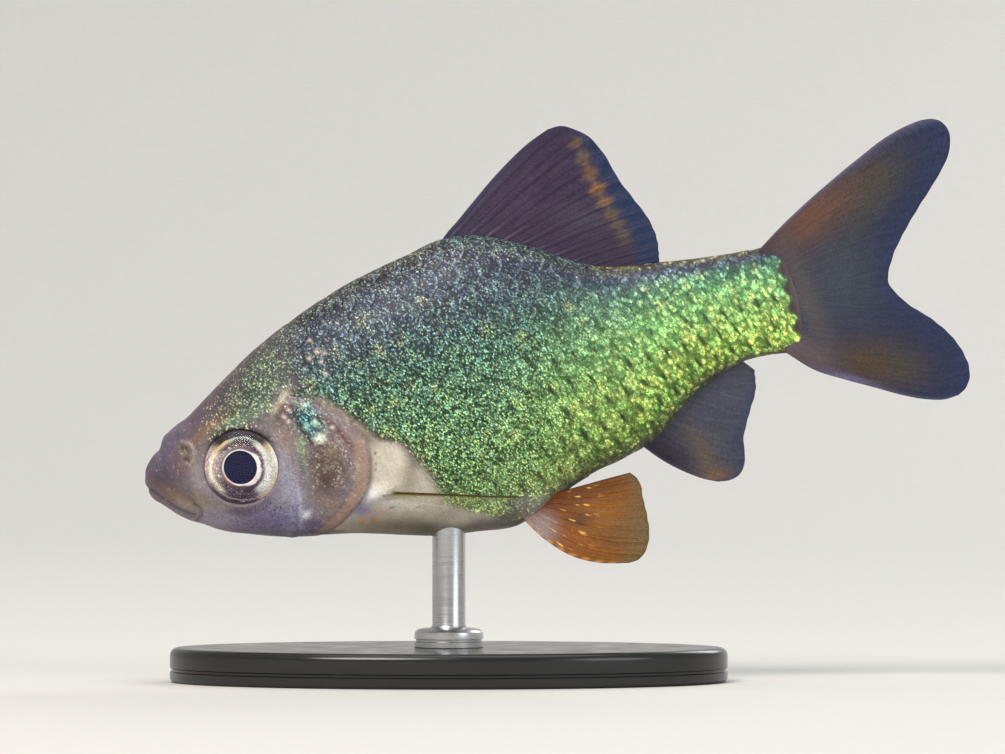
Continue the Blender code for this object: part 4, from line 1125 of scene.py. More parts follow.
@dataclass
class Skin:
    """One closed skin over head, gill covers, trunk and tail stalk."""

    around: int = 300
    head_steps: int = 230
    body_steps: int = 150
    rim_steps: tuple[float, ...] = (
        -0.5, -0.4, -0.31, -0.23, -0.16, -0.1, -0.05, 0.0, 0.025, 0.07, 0.13, 0.2, 0.28, 0.38, 0.5, 0.65)
    tail_end: float = 51.0
    snap: float = 0.07

    def lines(self, angle: Array) -> Array:
        """Distances of the skin's cross lines from the snout, which bend to follow the gill rim.

        Args:
            angle: angles of the grid's columns.

        Returns:
            One distance for each line and column.
        """
        folded = np.arccos(np.cos(angle))
        rim = RIM.at(folded)
        tip = BODY.sections[0][0]
        front = (np.arange(1, self.head_steps + 1) / (self.head_steps + 1))[:, None] ** 1.45
        ahead = tip + (rim + self.rim_steps[0] - 0.05 - tip) * front
        middle = rim + np.array(self.rim_steps)[:, None]
        share = (np.arange(1, self.body_steps + 1) / self.body_steps)[:, None]
        start = rim + self.rim_steps[-1]
        behind = start + (self.tail_end - start) * share
        return np.concatenate([ahead, middle, behind])

    def surface(self) -> tuple[Array, Array, Array]:
        """The skin's base form.

        Returns:
            Distances, angles and points of the grid.
        """
        angle = np.linspace(0.0, 2 * math.pi, self.around, endpoint=False)
        along = self.lines(angle)
        angle = np.broadcast_to(angle, along.shape).copy()
        points = BODY.point(along, angle)
        run, up = points[..., 0] - RELIEF.eye[0], points[..., 2] - RELIEF.eye[1]
        reach = np.hypot(run, up)
        near = np.abs(reach - RELIEF.orbit) < self.snap
        factor = np.where(near, (RELIEF.orbit + 0.002) / np.maximum(reach, 1e-6), 1.0)
        snapped = BODY.angle_of(RELIEF.eye[0] + run * factor, RELIEF.eye[1] + up * factor)
        folded = np.where(np.sin(angle) >= 0.0, snapped, 2 * math.pi - snapped)
        along = np.where(near, RELIEF.eye[0] + run * factor, along)
        angle = np.where(near, folded, angle)
        return along, angle, BODY.point(along, angle)

    def heights(self, along: Array, angle: Array, points: Array) -> Array:
        """How far each point of the grid stands out of the base form."""
        folded = np.arccos(np.cos(angle))
        height = points[..., 2]
        behind = along - RIM.at(folded)
        rise = RELIEF.head(along, height) * (along < 14.5)
        rise = rise + RELIEF.cover(behind, RIM.strength(folded))
        rise = rise + RELIEF.roots(along, height, folded)
        coat = along - MARKINGS.coat_start(height)
        return rise - BODY.coat_depth * ease(-0.2, 1.0, coat) * (1.0 - ease(49.6, 50.4, along))

    def build(self) -> Object:
        """Build the skin and dress it."""
        along, angle, base = self.surface()
        rows, columns = along.shape
        out = BODY.outward(along, angle)
        points = base + out * self.heights(along, angle, base)[..., None]
        tip = np.array([[BODY.sections[0][0], 0.0, BODY.sections[0][1]]])
        end = np.mean(points[-1], axis=0, keepdims=True) + np.array([[0.05, 0.0, 0.0]])
        everything = np.concatenate([points.reshape(-1, 3), tip, end])
        flat = np.concatenate([base.reshape(-1, 3), tip, end])
        quads = grid_faces(rows, columns, closed=True)
        ring = np.arange(columns)
        first = np.stack([np.full(columns, rows * columns), ring, (ring + 1) % columns], axis=1)
        last_row = (rows - 1) * columns
        last = np.stack([last_row + ring, np.full(columns, rows * columns + 1),
                         last_row + (ring + 1) % columns], axis=1)
        row, column = np.meshgrid(np.arange(rows - 1), ring, indexing="ij")
        u, v = (row + 1) / (rows + 1), column / columns
        du, dv = 1 / (rows + 1), 1 / columns
        patch = np.stack([np.stack([u, v], -1), np.stack([u + du, v], -1), np.stack([u + du, v + dv], -1),
                          np.stack([u, v + dv], -1)], axis=2)
        low, side = np.zeros(columns), ring / columns
        front = np.stack([np.stack([low, side + dv / 2], -1), np.stack([low + du, side], -1),
                          np.stack([low + du, side + dv], -1)], axis=1)
        back = np.stack([np.stack([low + 1 - du, side], -1), np.stack([low + 1, side + dv / 2], -1),
                         np.stack([low + 1 - du, side + dv], -1)], axis=1)
        skin = make_piece("skin", POSE.place(everything), [quads, first, last], MARKINGS.at(flat),
                          [patch, front, back])
        finish = GuanineSkin("wet_fish_skin", mottle=0.13, relief=0.03, stray=0.1)
        return dress(skin, finish.material(), "skin", "head", "gill_cover_left", "gill_cover_right",
                     "trunk", "tail_stalk")


@dataclass
class ScaleCoat:
    """Overlapping scales of one flank, each a thin curved plate with its root sunk in the skin."""

    side: float
    pitch: tuple[float, float] = (1.62, 1.36)
    row_pitch: tuple[float, float] = (2.1, 1.5)
    narrows: tuple[float, float] = (28.0, 45.0)
    overlap: float = 1.64
    across_points: int = 15
    along_points: int = 16
    thick: float = 0.035
    root_sink: float = -0.1
    edge_rise: float = 0.085
    rows: int = 8
    tail_limit: Curve = ((-3.4, 49.0), (-2.0, 49.5), (-0.5, 50.2), (1.6, 50.25), (4.4, 50.1))
    seed: int = 7

    def flank_table(self) -> tuple[Array, Array, Array]:
        """Angle of the flank by distance from the snout and by length round the body.

        Returns:
            The distances, the lengths from the side line, and the angles.
        """
        along = np.arange(11.0, 51.6, 0.2)
        turn = np.linspace(0.0, math.pi, 240)
        lengths = np.arange(-17.0, 17.05, 0.1)
        table = np.zeros((len(along), len(lengths)))
        for index, place in enumerate(along):
            points = BODY.point(np.full(turn.shape, place), turn)
            run = np.concatenate([[0.0], np.cumsum(np.linalg.norm(np.diff(points, axis=0), axis=1))])
            middle = np.interp(BODY.angle_of(np.array([place]), self.side_line(np.array([place])))[0], turn, run)
            above = middle - run
            table[index] = np.interp(lengths, above[::-1], turn[::-1])
            over = lengths > above[0]
            table[index][over] = -(lengths[over] - above[0]) / 6.0
            under = lengths < above[-1]
            table[index][under] = math.pi + (above[-1] - lengths[under]) / 6.0
        return along, lengths, table

    def side_line(self, along: Array) -> Array:
        """Height of the side line that the rows of scales follow."""
        return np.interp(along, [11.0, 15.0, 24.0, 34.0, 44.0, 52.0], [2.2, 1.6, 0.7, 0.7, 1.0, 0.9])

    def row_height(self, along: Array) -> Array:
        """Distance from one row of scales to the next."""
        share = ease(*self.narrows, along)
        return self.row_pitch[0] + (self.row_pitch[1] - self.row_pitch[0]) * share

    def roots(self) -> list[tuple[float, int, float]]:
        """Places of the scales' roots: distance from the snout, row and pitch there."""
        found = []
        for row in range(-self.rows, self.rows + 1):
            place = 9.4 + (0.5 * self.pitch[0] if row % 2 else 0.0)
            while place < 49.2:
                step = self.pitch[0] + (self.pitch[1] - self.pitch[0]) * float(ease(*self.narrows, np.array(place)))
                found.append((place, row, step))
                place += step
        return found

    def build(self) -> Object:
        """Build the flank's scales as one joined piece and dress it."""
        places, lengths, table = self.flank_table()
        draw = np.random.default_rng(self.seed)

        def angle_at(along: Array, length: Array) -> Array:
            """Angle of the flank at distances from the snout and lengths from the side line."""
            row = np.clip((along - places[0]) / 0.2, 0, len(places) - 1.001)
            column = np.clip((length - lengths[0]) / 0.1, 0, len(lengths) - 1.001)
            i, j = row.astype(int), column.astype(int)
            a, b = row - i, column - j
            low = table[i, j] * (1 - b) + table[i, j + 1] * b
            high = table[i + 1, j] * (1 - b) + table[i + 1, j + 1] * b
            return low * (1 - a) + high * a

        across = np.linspace(-1.0, 1.0, self.across_points)[None, :]
        down = np.concatenate([[0.0, 0.2], np.linspace(0.34, 1.0, self.along_points - 2)])[:, None]
        edge = 1.0 - 0.4 * np.abs(across) ** 2.3
        share = down * edge
        tops, bottoms, flats, extra, cells = [], [], [], [], []
        for place, row, step in self.roots():
            jitter = draw.uniform(-1.0, 1.0, 4)
            size = 1.0 + 0.03 * jitter[0]
            long = self.overlap * step * size
            row_here = float(self.row_height(np.array(place + step)))
            middle = row * row_here
            centre = np.array([place + 0.72 * long])
            turn = angle_at(centre, np.array([middle]))
            if not 0.06 < turn[0] < math.pi - 0.08:
                continue
            spot = BODY.point(centre, turn)[0]
            limit = np.interp(spot[2], *np.array(self.tail_limit).T)
            if centre[0] < MARKINGS.coat_start(np.array(spot[2])) + 0.25 or place + long > limit:
                continue
            along = place + share * long + 0.1 * jitter[1] * across * step / 2
            length = middle + across * 0.66 * row_here * size
            angle = np.clip(angle_at(along, length), 0.02, math.pi - 0.02)
            base = BODY.point(along, angle)
            out = BODY.outward(along, angle)
            rise = self.root_sink + (self.edge_rise - self.root_sink) * share ** 0.8
            rise = rise + 0.035 * (1.0 - across ** 2) * np.sin(np.pi * np.clip(share, 0.0, 1.0))
            rise = rise - 0.05 * across ** 6 * (1.0 - share)
            ridge = ease(0.05, 0.4, angle) * ease(0.05, 0.4, math.pi - angle)
            rise = rise * (0.25 + 0.75 * ridge) - 0.03 * (1.0 - ridge)
            thin = self.thick * (1.0 - 0.45 * share)
            top = base + out * (rise - BODY.coat_depth * 0.3)[..., None]
            tops.append(top)
            bottoms.append(top - out * thin[..., None])
            flats.append(base)
            exposed = (share * long - (self.overlap - 1.0) * step) / step
            lean = exposed - 0.22 + 0.26 * across
            dash = bell(lean, 0.1) * bell(across + 0.1 * jitter[2], 0.46) * (0.85 + 0.15 * jitter[0])
            lip = bell(down - 1.0, 0.07) * (1.0 - 0.6 * across ** 2)
            gilt = bell(exposed - 0.55, 0.24) * bell(across - 0.5 * jitter[1], 0.34) * ease(0.1, 0.5, jitter[2])
            extra.append(np.stack([dash, np.full(share.shape, jitter[3]), lip, exposed, gilt], axis=-1))
            cells.append((place, row, step))
        return self.join(np.array(tops), np.array(bottoms), np.array(flats), np.array(extra), cells)

    def join(self, tops: Array, bottoms: Array, flats: Array, extra: Array, cells: list) -> Object:
        """Join the scales into one mesh with its flat map.

        Args:
            tops: outer points of every scale.
            bottoms: inner points of every scale.
            flats: points of the body form under them.
            extra: the dash, the shade, the lip, the bare share and the gilt spot of every point.
            cells: root distance, row and pitch of every scale.

        Returns:
            The dressed piece.
        """
        count, rows, columns = tops.shape[:3]
        each = rows * columns
        points = np.concatenate([tops.reshape(-1, 3), bottoms.reshape(-1, 3)])
        points[:, 1] *= self.side
        upper = grid_faces(rows, columns)
        lower = upper[:, ::-1]
        rim = ([(0, c) for c in range(columns)] + [(r, columns - 1) for r in range(1, rows)]
               + [(rows - 1, c) for c in range(columns - 2, -1, -1)] + [(r, 0) for r in range(rows - 2, 0, -1)])
        loop = np.array([r * columns + c for r, c in rim])
        after = np.roll(loop, -1)
        offset = (np.arange(count) * each)[:, None, None]
        all_upper = (upper[None] + offset).reshape(-1, 4)
        all_lower = (lower[None] + offset + count * each).reshape(-1, 4)
        wall = np.stack([loop, after, after + count * each, loop + count * each], axis=1)
        all_wall = (wall[None] + offset).reshape(-1, 4)
        faces = [all_upper, all_lower, all_wall]
        if self.side < 0:
            faces = [part[:, ::-1] for part in faces]

        flat = flats.reshape(-1, 3).copy()
        marks = MARKINGS.at(flat)
        dash, shade, lip, exposed, gilt = (extra[..., index].ravel() for index in range(5))
        along, height = flat[:, 0], flat[:, 2]
        level = BODY.level(along, height)
        where = ease(24.0, 32.0, along + 10.0 * (0.35 - level)) * ease(0.03, 0.12, level)
        where = where * (1.0 - 0.75 * ease(0.45, 0.7, level)) * (1.0 - ease(0.8, 0.9, level))
        marks.ground = brush(marks.ground, "#151811", 0.96 * dash * where)
        marks.glitter = marks.glitter * (1.0 - 0.99 * dash * where)
        middle = ease(18.0, 24.0, along) * (1.0 - ease(34.0, 40.0, along))
        edging = lip * ease(0.55, 0.85, level) * (0.5 + 0.5 * middle)
        marks.ground = brush(marks.ground, "#6d8c88", 0.4 * edging * (1.0 - ease(0.94, 1.0, level)))
        marks.glint = brush(marks.glint, "#e9e27c", 0.5 * gilt * (1.0 - ease(0.86, 0.94, level)))
        marks.glitter = marks.glitter + 0.22 * gilt * (marks.glitter > 0.3)
        # Each scale's tone varies at random, and its ground is painted darker where it comes out from under the scale
        # in front, as painted shade.
        marks.ground = marks.ground * (1.0 + 0.08 * shade - 0.12 * bell(exposed, 0.16) * (1 - where))[:, None]
        marks.glint = marks.glint * (1.0 + 0.1 * shade + 0.55 * edging)[:, None]
        marks.glitter = np.clip(marks.glitter + 0.35 * edging * (marks.glitter > 0.3), 0.0, 1.4)
        marks.grain[:, 1] *= self.side
        doubled = marks.doubled()
        patches = self.flat_map(cells, rows, columns, loop, after, upper, lower)
        if self.side < 0:
            patches = [part[:, ::-1] for part in patches]
        name = "scales_left" if self.side < 0 else "scales_right"
        coat = make_piece(name, POSE.place(points), faces, doubled, patches, crease=50.0)
        return dress(coat, GuanineSkin("guanine_scales").material(), "skin")

    def flat_map(self, cells: list, rows: int, columns: int, loop: Array, after: Array,
                 upper: Array, lower: Array) -> list[Array]:
        """Place of every scale on the flank's flat map: a patch of its own where its root is.

        Args:
            cells: root distance, row and pitch of every scale.
            rows: rows of points in a scale.
            columns: points in a row.
            loop: the points of a scale's rim.
            after: the next rim point for each.
            upper: outer faces of one scale.
            lower: inner faces of one scale.

        Returns:
            Corners on the map, set by set.
        """
        span = 44.0
        row_share, column_share = np.meshgrid(np.linspace(0, 1, rows), np.linspace(0, 1, columns), indexing="ij")
        flat = np.stack([row_share.ravel(), column_share.ravel()], axis=-1)
        outer, inner, wall = [], [], []
        for place, row, step in cells:
            corner = np.array([(place - 8.0) / span, 0.5 + (row * 2.1 - 1.0) / span])
            size = np.array([0.93 * step, 1.95]) / span
            top = corner + flat * size * np.array([1.0, 0.74])
            low = corner + size * np.array([0.0, 0.8]) + flat * size * np.array([1.0, 0.16])
            outer.append(top[upper])
            inner.append(low[lower])
            strip = np.stack([top[loop], top[after], top[after], top[loop]], axis=1)
            wall.append(strip)
        return [np.concatenate(part) for part in (outer, inner, wall)]


class FinPaint(Enum):
    """Which fin's colours a fin takes."""

    DORSAL = "dorsal"
    ANAL = "anal"
    CAUDAL = "caudal"
    PELVIC = "pelvic"
    PECTORAL = "pectoral"


FIN_PATCHES: dict[FinPaint, tuple[Patch, ...]] = {
    FinPaint.DORSAL: (
        Patch(31.0, 13.0, 5.5, 3.2, 25, "#42364a", 0.9), Patch(34.5, 10.5, 5.0, 2.0, 0, "#3f3346", 0.8),
        Patch(38.0, 7.6, 4.0, 1.3, -8, "#3e3444", 0.7), Patch(37.0, 10.6, 2.6, 1.1, -20, "#484452", 0.6),
        Patch(30.0, 14.3, 5.0, 0.5, 33, "#474460", 0.5),
    ),
    FinPaint.ANAL: (
        Patch(38.0, -8.4, 2.6, 1.7, -40, "#2d2331", 0.95), Patch(43.0, -5.2, 3.2, 2.0, 0, "#484b58", 0.7),
        Patch(41.0, -9.0, 0.8, 2.4, 12, "#5f5345", 0.78), Patch(41.7, -10.9, 1.5, 0.6, -8, "#7d5a3d", 0.75),
        Patch(44.4, -8.6, 1.0, 3.2, -14, "#3b4058", 0.6),
    ),
    FinPaint.CAUDAL: (
        Patch(54.0, 1.6, 3.6, 4.2, 0, "#41474e", 0.85), Patch(58.2, 7.6, 3.2, 1.8, 25, "#46433b", 0.88),
        Patch(53.4, 6.3, 4.4, 1.8, 23, "#66493a", 0.92), Patch(57.6, 5.6, 3.0, 0.9, 38, "#3f413e", 0.6),
        Patch(54.6, -5.4, 3.2, 1.8, -24, "#4f3f2d", 0.92), Patch(57.2, -6.4, 2.0, 1.5, -24, "#454036", 0.7),
        Patch(51.4, 0.6, 1.0, 4.6, 8, "#575150", 0.8), Patch(50.9, -4.1, 1.5, 1.1, -30, "#5c5254", 0.9),
        Patch(49.6, -2.9, 1.5, 1.2, -20, "#5c5254", 0.96, 1.3),
        Patch(53.0, -6.3, 2.2, 0.35, -30, "#78719a", 0.7),
    ),
    FinPaint.PELVIC: (
        Patch(31.0, -9.5, 5.0, 0.8, 6, "#5f3417", 0.85), Patch(34.6, -13.2, 2.2, 2.4, 0, "#65512b", 0.8),
        Patch(32.4, -11.2, 1.8, 1.2, 0, "#97601f", 0.6), Patch(30.6, -11.3, 1.1, 0.5, -6, "#3f271a", 0.8),
        Patch(27.7, -11.0, 1.5, 1.2, -45, "#9c8e90", 0.95, 1.5), Patch(30.2, -12.6, 2.2, 0.8, -40, "#8d4f16", 0.6),
    ),
    FinPaint.PECTORAL: (),
}
FIN_BASE = {FinPaint.DORSAL: "#3a3148", FinPaint.ANAL: "#454752", FinPaint.CAUDAL: "#2b314a",
            FinPaint.PELVIC: "#7e4606", FinPaint.PECTORAL: "#9a9468"}
FIN_HEM = {FinPaint.DORSAL: "#24314f", FinPaint.ANAL: "#383e58", FinPaint.CAUDAL: "#2d3552",
           FinPaint.PELVIC: "#645738", FinPaint.PECTORAL: "#a9a796"}
ORANGE_BAND = ((37.2, 17.2), (37.75, 15.8), (38.15, 13.2), (38.7, 10.9), (39.35, 8.6), (39.6, 7.4))


@dataclass
class FanFin:
    """A fin of branched rays in a thin membrane, built between its root and its margin."""

    name: str
    paint: FinPaint
    slot: str
    root: Array
    lead: Array
    trail: Array
    margin: Array
    rays: int
    spread: float = 1.0
    fork: float = 1.0
    stiff: float = 1.0
    membrane: float = 0.055
    ridge: float = 0.05
    root_half: float = 0.22
    root_reach: float = 0.16
    wave: float = 0.09
    rows: int = 64
    per_ray: int = 20
    scallop: float = 0.035

    def sheet(self) -> tuple[Array, Array, Array]:
        """Middle sheet of the fin.

        Returns:
            Points, shares across the fin and shares from root to margin.
        """
        u = np.linspace(0.0, 1.0, self.rays * self.per_ray + 1)
        v = np.linspace(0.0, 1.0, self.rows)
        start = along_curve(self.root, u)[:, None, :]
        end = along_curve(self.margin, (1.0 - (1.0 - u) ** self.spread) ** self.fork)[:, None, :]
        lead = along_curve(self.lead, v)[None, :, :]
        trail = along_curve(self.trail, v)[None, :, :]
        s, t = u[:, None, None], v[None, :, None]
        straight = (1 - t) * start + t * end
        ahead = lead - (1 - t) * self.root[0] - t * self.margin[0]
        behind = trail - (1 - t) * self.root[-1] - t * self.margin[-1]
        grid = straight + (1 - s) ** self.stiff * ahead + s ** self.stiff * behind
        outward = np.gradient(grid, axis=1)
        outward = outward / np.maximum(np.linalg.norm(outward, axis=2, keepdims=True), 1e-9)
        grid = grid - outward * self.notches(u, v)[..., None]
        return grid, np.broadcast_to(u[:, None], grid.shape[:2]), np.broadcast_to(v[None, :], grid.shape[:2])

    def notches(self, u: Array, v: Array) -> Array:
        """How far the margin draws back between the tips of the rays."""
        phase = (u * self.rays) % 1.0
        return (0.5 + 0.5 * np.cos(2 * math.pi * phase))[:, None] * self.scallop * ease(0.88, 1.0, v)[None, :]

    def ray_ridge(self, u: Array, v: Array) -> Array:
        """Height of the rays, 0 to 1, each splitting in two and in four towards the margin."""
        phase = (u * self.rays) % 1.0
        first = 0.155 * ease(0.34, 0.72, v)
        second = 0.075 * ease(0.62, 1.0, v)
        width = 0.115 - 0.055 * ease(0.3, 0.8, v)
        best = np.zeros(u.shape)
        for big in (-1.0, 1.0):
            for small in (-1.0, 1.0):
                best = np.maximum(best, np.exp(-(((phase - 0.5 - big * first - small * second) / width) ** 2)))
        return best

    def marks(self, grid: Array, u: Array, v: Array, ridge: Array) -> Marks:
        """Colours of the fin.

        Args:
            grid: points of the middle sheet.
            u: shares across the fin.
            v: shares from root to margin.
            ridge: height of the rays, 0 to 1.

        Returns:
            The marks of every point.
        """
        along, height = grid[..., 0].ravel(), grid[..., 2].ravel()
        flat_u, flat_v, flat_ridge = u.ravel(), v.ravel(), ridge.ravel()
        ground = np.broadcast_to(tint(FIN_BASE[self.paint]), (len(along), 3))
        for patch in FIN_PATCHES[self.paint]:
            ground = brush(ground, patch.colour, patch.weight(along, height))
        alpha = np.ones(len(along))
        hem = ease(0.8, 1.0, flat_v)
        phase = (flat_u * self.rays) % 1.0
        if self.paint is FinPaint.DORSAL:
            gap, signed, share = line_distance(ORANGE_BAND, along, height)
            outside = ease(0.0, 1.0, signed)
            ground = brush(ground, FIN_HEM[self.paint], outside)
            streaky = 0.2 + 0.8 * flat_ridge ** 2 * (0.75 + 0.25 * np.sin(flat_u * 61.0))
            bright = 0.15 + 0.85 * np.exp(-(((share - 0.47) / 0.17) ** 2))
            ends = ease(0.02, 0.12, share) * (1.0 - ease(0.88, 1.0, share))
            band = bell(gap + 0.25 * np.sin(flat_u * 97.0), 0.42) * ends
            ground = brush(ground, "#5b5644", 0.65 * band)
            ground = brush(ground, "#b97a3e", 0.95 * band * streaky * bright)
            uneven = 0.25 + 0.75 * np.sin(np.floor(flat_u * self.rays) * 2.3 + 0.6) ** 2
            pale = 0.34 * flat_ridge ** 6 * uneven * (1.0 - ease(0.06, 0.22 + 0.1 * uneven, flat_v))
            pale = pale + 0.07 * flat_ridge * outside
            ground = brush(ground, "#8d8296", pale)
            dark = (bell(phase - 0.5 - 0.22, 0.07) + bell(phase - 0.5 + 0.22, 0.05)) * (1.0 - 0.7 * outside)
            ground = brush(ground, "#231b2b", 0.5 * dark)
        elif self.paint is FinPaint.PELVIC:
            ground = brush(ground, FIN_HEM[self.paint], 0.75 * hem)
            # Painted highlights: warm bright spots on the rays, about two fifths out from the root.
            wander = np.sin(flat_v * 58.0 + flat_u * 53.0) + np.sin(flat_v * 23.0 - flat_u * 31.0)
            ray_highlight_spots = flat_ridge ** 2 * bell(flat_v - 0.4, 0.17) * ease(0.75, 1.05, wander)
            ground = brush(ground, "#4f2f12", 0.28 * (1.0 - flat_ridge))
            ground = brush(ground, "#f4c267", 0.9 * ray_highlight_spots)
            ground = brush(ground, "#e5a95c", 0.6 * bell(flat_u, 0.035) * (1.0 - hem)
                           * (0.5 + 0.5 * np.sin(flat_v * 60.0)))
        elif self.paint is FinPaint.PECTORAL:
            ground = brush(ground, "#3a2d1c", 0.95 * bell(flat_u, 0.07))
            ground = brush(ground, "#b39d2e", 0.9 * bell(flat_u - 0.14, 0.06) * (1.0 - ease(0.25, 0.6, flat_v)))
            ground = brush(ground, CREAM_SHOULDER, 1.0 - ease(0.04, 0.13, flat_v))
            alpha = np.clip(0.04 + 0.18 * flat_ridge + bell(flat_u, 0.08) + 0.8 * bell(flat_u - 0.14, 0.07)
                            * (1.0 - ease(0.25, 0.6, flat_v)), 0.0, 1.0)
        else:
            ground = brush(ground, FIN_HEM[self.paint], 0.75 * hem)
            ground = brush(ground, "#222439", 0.07 * (1.0 - flat_ridge) * (1.0 - hem))
            edge = bell(flat_u, 0.01) + bell(1.0 - flat_u, 0.01)
            ground = brush(ground, "#5d5c74", 0.6 * edge)
        length = np.linalg.norm(np.diff(along_curve(self.lead, np.linspace(0, 1, 20)), axis=0), axis=1).sum()
        grain = np.stack([flat_u * self.rays, flat_v * length, 0.0 * flat_u], axis=-1)
        return Marks(ground, ground, np.zeros(len(along)), alpha, grain)

    def build(self, *nodes: str) -> Object:
        """Build the fin and dress it.

        Args:
            nodes: the solids that it stands for.

        Returns:
            The piece.
        """
        grid, u, v = self.sheet()
        ridge = self.ray_ridge(u, v)
        across = np.gradient(grid, axis=0)
        outward = np.gradient(grid, axis=1)
        out = np.cross(across, outward)
        out = out / np.maximum(np.linalg.norm(out, axis=2, keepdims=True), 1e-12)
        taper = 1.0 - 0.55 * v
        spine = np.exp(-((u / 0.03) ** 2))
        half = self.membrane * taper + self.ridge * taper * np.maximum(ridge, spine)
        half = half + (self.root_half - self.membrane) * (1.0 - ease(0.0, self.root_reach, v))
        half = np.where(v > 0.97, half * 0.55, half)
        half[0, :] *= 0.35
        half[-1, :] *= 0.35
        sway = self.wave * np.sin(2.4 * math.pi * u + 1.7 * v) * ease(0.25, 1.0, v)
        middle = grid + out * sway[..., None]
        rows, columns = u.shape
        front = middle + out * half[..., None]
        back = middle - out * half[..., None]
        points = np.concatenate([front.reshape(-1, 3), back.reshape(-1, 3)])
        each = rows * columns
        upper = grid_faces(rows, columns)
        lower = grid_faces(rows, columns)[:, ::-1] + each
        rim = ([(0, c) for c in range(columns)] + [(r, columns - 1) for r in range(1, rows)]
               + [(rows - 1, c) for c in range(columns - 2, -1, -1)] + [(r, 0) for r in range(rows - 2, 0, -1)])
        loop = np.array([r * columns + c for r, c in rim])
        after = np.roll(loop, -1)
        wall = np.stack([loop, after, after + each, loop + each], axis=1)
        marks = self.marks(grid, u, v, ridge)
        doubled = marks.doubled()
        obj = make_piece(self.name, POSE.place(points), [upper, lower, wall], doubled)
        material = FinMembrane(f"{self.paint.value}_fin_membrane", clear=self.paint is FinPaint.PECTORAL).material()
        return dress(obj, material, self.slot, *nodes)


def upright(points: Curve) -> Array:
    """Points of the side view as points of the middle plane."""
    return np.array([(along, 0.0, height) for along, height in points])


